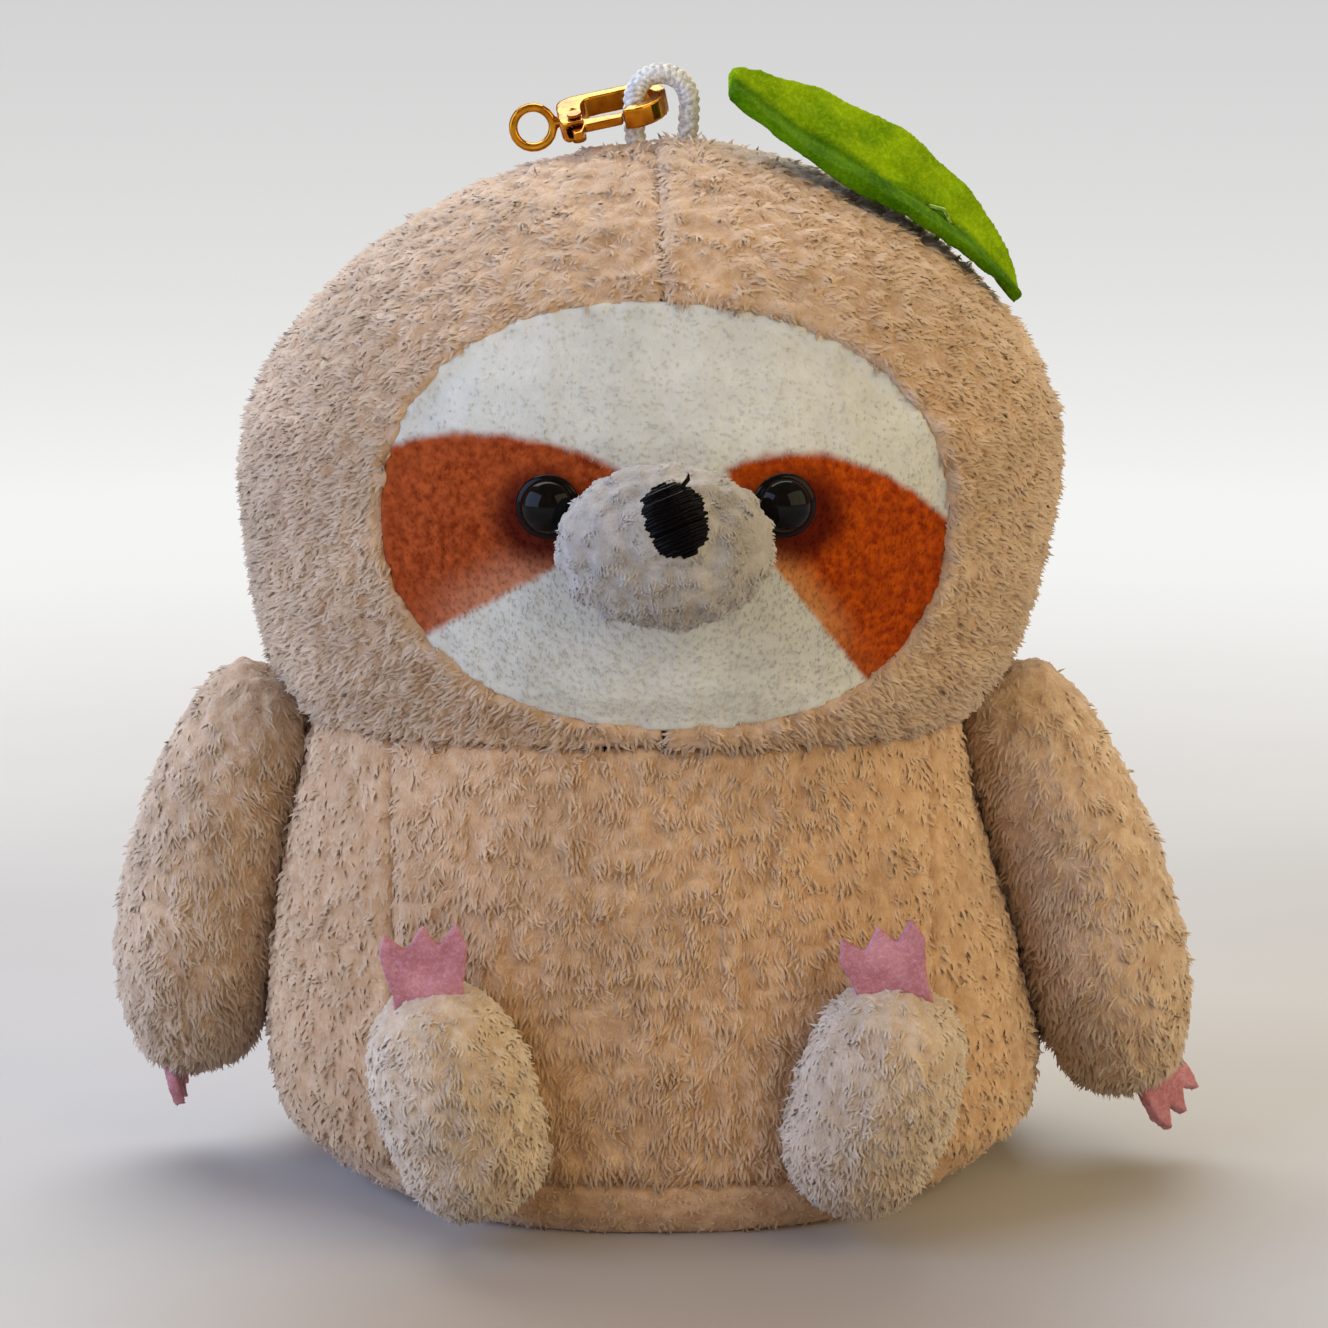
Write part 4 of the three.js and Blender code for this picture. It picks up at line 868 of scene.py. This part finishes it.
LEAF_CREASES, LEAF_FUZZ = (5.0, 0.9), 0.0
leaf = felt_piece(
    "leaf_felt", "leaf", "toy", "leaf", 0.28 * MM, LEAF_CREASES, LEAF_FUZZ
)
for side in SIDES:
    for limb, body in (("hand", "arm"), ("foot", "leg")):
        claws = f"{limb}_claws_{side}"
        felt_piece(f"{claws}_felt", claws, f"{body}_{side}", "claw", 0.22 * MM)


# Eyes

EYE_RADIUS, EYE_DOME, EYE_RIM = 2.75 * MM, 2.3 * MM, 0.6 * MM
EYE_STEM, EYE_STEM_LENGTH = 0.9 * MM, 6.5 * MM
EYE_EDGE = 0.25 * MM
EYE_ASIDE = 9.9 * MM
EYE_TURN = math.radians(10)
EYE_STEPS, DOME_STEPS = 64, 14


def spun(profile, steps):
    """A closed form turned about the upright axis from a profile that starts and ends on it."""
    shape = bmesh.new()
    corners = [shape.verts.new((radius, 0, height)) for radius, height in profile]
    edges = [shape.edges.new(pair) for pair in zip(corners, corners[1:])]
    bmesh.ops.spin(
        shape, geom=corners + edges, cent=(0, 0, 0), axis=(0, 0, 1),
        angle=math.tau, steps=steps, use_merge=True,
    )
    bmesh.ops.remove_doubles(shape, verts=shape.verts, dist=WELD)
    bmesh.ops.recalc_face_normals(shape, faces=shape.faces)
    return shape


def smooth_piece(name, shape, look):
    """A piece with smooth faces from that bmesh."""
    for face in shape.faces:
        face.smooth = True
    return new_piece(name, shape, MATERIALS[look])


def add_eye(side, sign):
    rim = [
        (EYE_RADIUS - EYE_EDGE, 0),
        (EYE_RADIUS, EYE_EDGE),
        (EYE_RADIUS, EYE_RIM - EYE_EDGE),
        (EYE_RADIUS - EYE_EDGE, EYE_RIM),
    ]
    inner, sunk = EYE_RADIUS - EYE_EDGE * 1.6, EYE_EDGE * 0.2
    dome = [
        (inner * math.cos(angle), EYE_RIM - sunk + (EYE_DOME - EYE_RIM + sunk) * math.sin(angle))
        for angle in [math.pi / 2 * step / DOME_STEPS for step in range(DOME_STEPS)]
    ]
    stem = [(0, -EYE_STEM_LENGTH), (EYE_STEM, -EYE_STEM_LENGTH), (EYE_STEM, 0)]
    shape = spun([*stem, *rim, *dome, (0, EYE_DOME)], EYE_STEPS)
    low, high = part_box(f"eye_{side}")
    depth = low.y + EYE_DOME * math.cos(EYE_TURN)
    place = Vector((sign * EYE_ASIDE, depth, (low.z + high.z) / 2))
    aim = Matrix.Rotation(sign * EYE_TURN, 4, "Z") @ Matrix.Rotation(math.radians(90), 4, "X")
    bmesh.ops.transform(shape, matrix=Matrix.Translation(place) @ aim, verts=shape.verts)
    piece = smooth_piece(f"eye_{side}_dome", shape, "eye")
    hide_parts(f"eye_{side}")
    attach(piece, "toy")


for side, sign in SIDES.items():
    add_eye(side, sign)


# Threads and cord


def strand(shape, points, radius, ends=0.35):
    """Adds a round strand along the points, with narrowed closed ends."""
    curve = bpy.data.curves.new("strand", "CURVE")
    curve.dimensions = "3D"
    curve.bevel_depth = radius
    curve.bevel_resolution = 1  # six sides
    curve.use_fill_caps = True
    line = curve.splines.new("POLY")
    line.points.add(len(points) - 1)
    for index, (point, place) in enumerate(zip(points, line.points)):
        place.co = (*point, 1)
        place.radius = ends if index in (0, len(points) - 1) else 1
    holder = bpy.data.objects.new("strand", curve)
    SCENE.collection.objects.link(holder)
    graph = bpy.context.evaluated_depsgraph_get()
    mesh = bpy.data.meshes.new_from_object(holder.evaluated_get(graph))
    shape.from_mesh(mesh)
    bpy.data.objects.remove(holder)


NOSE_WIDTH_SHARE, NOSE_HEIGHT_SHARE = 0.88, 0.9
NOSE_LIFT = math.radians(17)
NOSE_SEAT = 2.3 * MM  # from the front of the solid nose to the middle of the stitches
NOSE_SWELL, NOSE_SUNK = 1.5, 0.3  # millimetres that the stitches bulge, and start behind it
STITCH_SLANT = math.radians(24)
STITCHES, STITCH_STEPS = 25, 12
STITCH_RADII = (0.2, 0.29)
THREAD_END = ((0.3, 0.7, 2.0), (0.75, 0.75, 2.9), (1.15, 0.5, 3.4), (1.2, 0.35, 3.9))


def add_nose():
    """Slanted satin stitches, laid side by side with uneven ends, and a loose thread end."""
    chance = random.Random(4)
    low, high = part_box("nose_stitching")
    middle = Vector(((low.x + high.x) / 2, low.y + NOSE_SEAT, (low.z + high.z) / 2))
    half_width = (high.x - low.x) * NOSE_WIDTH_SHARE / 2
    half_height = (high.z - low.z) * NOSE_HEIGHT_SHARE / 2
    outward = Vector((0, -math.cos(NOSE_LIFT), math.sin(NOSE_LIFT)))
    upward = Vector((0, math.sin(NOSE_LIFT), math.cos(NOSE_LIFT)))
    right = Vector((1, 0, 0))
    along = right * math.cos(STITCH_SLANT) + upward * math.sin(STITCH_SLANT)
    across = upward * math.cos(STITCH_SLANT) - right * math.sin(STITCH_SLANT)
    shape = bmesh.new()
    for number in range(STITCHES):
        share = 2 * (number + 0.5 + chance.uniform(-0.25, 0.25)) / STITCHES - 1
        reach = math.sqrt(max(0.06, 1 - abs(share) ** 2.3))
        ends = (reach * chance.uniform(0.9, 1.06), reach * chance.uniform(0.9, 1.06))
        lift = chance.uniform(-0.08, 0.14)
        points = []
        for step in range(STITCH_STEPS + 1):
            way = (ends[0] + ends[1]) * step / STITCH_STEPS - ends[0]
            swell = math.sqrt(max(0, 1 - 0.8 * share**2 - way**2 * 0.92))
            sway = share * half_height + chance.uniform(-0.04, 0.04) * MM
            spread = along * (way * half_width) + across * sway
            height = (NOSE_SWELL * swell + lift - NOSE_SUNK) * MM
            points.append(middle + spread + outward * height)
        strand(shape, points, chance.uniform(*STITCH_RADII) * MM, ends=0.7)
    tail = [
        middle + right * (x * MM) + outward * (y * MM) + upward * (z * MM)
        for x, y, z in THREAD_END
    ]
    strand(shape, tail, 0.2 * MM)
    piece = smooth_piece("nose_threads", shape, "nose")
    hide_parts("nose_stitching")
    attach(piece, "toy")


add_nose()

CROWN = 94.1 * MM
LOOP_ASIDE = 0.4 * MM
LOOP_HALF = 2.5 * MM  # half the span of the loop
LOOP_INSIDE = 6 * MM  # how far the braid goes on inside the head
CORD_RADIUS = 1 * MM
LEG_SHARE = 0.3  # of the way, for each leg of the loop
LEG_TAPER = (0.55, 0.45)  # share of the half span below, and what it gains on the way up
BRAID_STEPS, BRAID_TURNS, BRAID_STRANDS = 150, 9.0, 8
BRAID_RADIUS, BRAID_WEAVE = 0.5, 0.17  # millimetres from the cord's middle, and over and under
BRAID_STRAND = 0.33 * MM


def loop_path(steps):
    """Points on the middle of the cord, up from inside the head, over and down again."""
    _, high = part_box("cord_loop")
    arch = high.z - CORD_RADIUS - LOOP_HALF

    def leg(share, side):
        near, spread = LEG_TAPER
        wide = side * LOOP_HALF * (near + spread * math.sin(share * math.pi / 2))
        return wide, CROWN - LOOP_INSIDE + share * (arch - CROWN + LOOP_INSIDE)

    path = []
    for way in [step / steps for step in range(steps + 1)]:
        if way < LEG_SHARE:
            wide, height = leg(way / LEG_SHARE, 1)
        elif way <= 1 - LEG_SHARE:
            angle = math.pi * (way - LEG_SHARE) / (1 - 2 * LEG_SHARE)
            wide, height = LOOP_HALF * math.cos(angle), arch + LOOP_HALF * math.sin(angle)
        else:
            wide, height = leg((1 - way) / LEG_SHARE, -1)
        path.append(Vector((wide + LOOP_ASIDE, 0, height)))
    return path


def add_cord():
    """A braid of eight strands, four wound each way, that pass over and under each other."""
    path = loop_path(BRAID_STEPS)
    shape = bmesh.new()
    for number in range(BRAID_STRANDS):
        way = 1 if number % 2 else -1
        phase = math.tau * (number // 2) / (BRAID_STRANDS / 2)
        points = []
        for index, point in enumerate(path):
            ahead = path[min(index + 1, BRAID_STEPS)] - path[max(index - 1, 0)]
            side = Vector((0, 1, 0))
            up = ahead.normalized().cross(side)
            angle = phase + way * math.tau * BRAID_TURNS * index / BRAID_STEPS
            weave = 0.5 + 0.5 * math.cos(angle * 2 + (0 if way > 0 else math.pi))
            radius = (BRAID_RADIUS + BRAID_WEAVE * weave) * MM
            points.append(point + (side * math.cos(angle) + up * math.sin(angle)) * radius)
        strand(shape, points, BRAID_STRAND)
    piece = smooth_piece("cord_braid", shape, "cord")
    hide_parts("cord_loop")
    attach(piece, "toy")


add_cord()


# Metal

CAST_GRAIN = 0.11 * MM


def cast_piece(name, node_name, body):
    """A cast, polished and plated piece with every edge rounded."""
    piece = new_piece(name, merged_copy([node_name]), MATERIALS["gold"])
    modified(
        piece,
        ("REMESH", {"mode": "VOXEL", "voxel_size": CAST_GRAIN, "use_smooth_shade": True}),
        ("SMOOTH", {"factor": 0.5, "iterations": 6}),
    )
    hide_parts(node_name)
    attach(piece, body)


cast_piece("clasp_hook_gold", "clasp_body", "clasp")
cast_piece("clasp_gate_gold", "clasp_gate", "gate")
cast_piece("swivel_ring_gold", "swivel_eye", "swivel")


def add_gate_spring():
    """The strip spring on the hook, copied in steel, its place baked into its mesh."""
    piece = new_piece("gate_spring_strip", merged_copy(["gate_spring"]), MATERIALS["steel"])
    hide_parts("gate_spring")
    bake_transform(piece)


add_gate_spring()
for name, look in {
    "gate_pin": "gold",
    "eye_washer_left": "clear",
    "eye_washer_right": "clear",
    "leaf_thread": "tack",
}.items():
    carried = frame["nodes"][name].data
    carried.materials.clear()
    carried.materials.append(MATERIALS[look])


# Floor, light and camera

BACKGROUND = tone(209, 210, 209)
FLOOR_REACH = 40  # metres
PAINTED_SHADOW_MIDDLE = (0.0, -0.07, 0.0)  # middle of the warm shadow painted on the paper before the toy


def add_floor():
    """White paper with a warm shadow painted on it before the toy, that far away takes the tone of the
    background.
    """
    shape = bmesh.new()
    bmesh.ops.create_grid(shape, x_segments=2, y_segments=2, size=FLOOR_REACH)
    made, tree, shader = new_material("paper_floor", Roughness=0.9, Specular_IOR_Level=0.1)
    place = object_place(tree)
    folds = stretched(tree, noise_at(tree, place, 14.0, 3.0), 0.35, 0.65)
    paper = blended(tree, folds, tone(190, 189, 187), tone(196, 195, 193))
    # Painted shadow: the paper turns darker and warmer towards a spot just before the toy.
    front = distance(tree, vectors(tree, "MULTIPLY", place, (1.3, 1.0, 1.0)), PAINTED_SHADOW_MIDDLE)
    painted_shadow = stretched(tree, front, 0.015, 0.08, 0.9, 0.0, smooth=True)
    colour = blended(tree, painted_shadow, paper, tone(172, 158, 144))
    tree.links.new(colour, shader.inputs["Base Color"])
    away = node(tree, "ShaderNodeVectorMath", {0: place}, operation="LENGTH").outputs["Value"]
    nearness = sum_of(tree, "DIVIDE", 0.5, away, clamp=True)
    backdrop = blended(tree, nearness, BACKGROUND, tone(245, 245, 243))
    glow = node(tree, "ShaderNodeEmission", {"Color": backdrop}).outputs[0]
    far = stretched(tree, away, 0.1, 0.42, smooth=True)
    rays = node(tree, "ShaderNodeLightPath").outputs
    seen = sum_of(tree, "MAXIMUM", rays["Is Camera Ray"], rays["Is Glossy Ray"])
    share = sum_of(tree, "MULTIPLY", far, seen)
    both = {0: share, 1: shader.outputs[0], 2: glow}
    both = node(tree, "ShaderNodeMixShader", both).outputs[0]
    tree.links.new(both, tree.nodes["Material Output"].inputs["Surface"])
    floor = new_piece("floor", shape, made)


def add_lamp(name, place, size, power, colour):
    light = bpy.data.lights.new(name, "AREA")
    light.shape = "RECTANGLE"
    light.size, light.size_y = size
    light.energy = power
    light.color = colour
    lamp = bpy.data.objects.new(name, light)
    SCENE.collection.objects.link(lamp)
    lamp.location = place
    lamp.rotation_euler = (TARGET - Vector(place)).to_track_quat("-Z", "Y").to_euler()


add_floor()
add_lamp("window", (-0.1, 0.4, 0.72), (0.8, 0.5), 5.8, (0.96, 1.0, 1.04))
add_lamp("left", (-0.68, -0.3, 0.34), (0.9, 0.6), 4.1, (0.72, 0.98, 1.58))
add_lamp("right", (0.6, -0.42, 0.36), (0.9, 0.6), 3.3, (1.0, 0.84, 0.52))
world = bpy.data.worlds.new("room_light")
SCENE.world = world
world.use_nodes = True
sky = world.node_tree
seen = node(sky, "ShaderNodeLightPath").outputs["Is Camera Ray"]
backdrop = blended(sky, seen, tone(222, 198, 168), BACKGROUND)
sky.links.new(backdrop, sky.nodes["Background"].inputs["Color"])
sky.links.new(stretched(sky, seen, 0.0, 1.0, 0.5, 1.0), sky.nodes["Background"].inputs["Strength"])

lens = bpy.data.cameras.new("camera")
lens.sensor_width = SENSOR
lens.lens = FOCAL_PIXELS / PICTURE * SENSOR
lens.shift_x = (PICTURE / 2 - TARGET_PIXEL[0]) / PICTURE
lens.shift_y = (TARGET_PIXEL[1] - PICTURE / 2) / PICTURE
lens.clip_start, lens.clip_end = 0.01, 100
camera = bpy.data.objects.new("camera", lens)
SCENE.collection.objects.link(camera)
away = Vector((0, -math.cos(CAMERA_RISE), math.sin(CAMERA_RISE))) * CAMERA_AWAY
camera.location = TARGET + Matrix.Rotation(CAMERA_TURN, 3, "Z") @ away
camera.rotation_euler = (TARGET - camera.location).to_track_quat("-Z", "Y").to_euler()
SCENE.camera = camera
SCENE.view_settings.view_transform = "Standard"
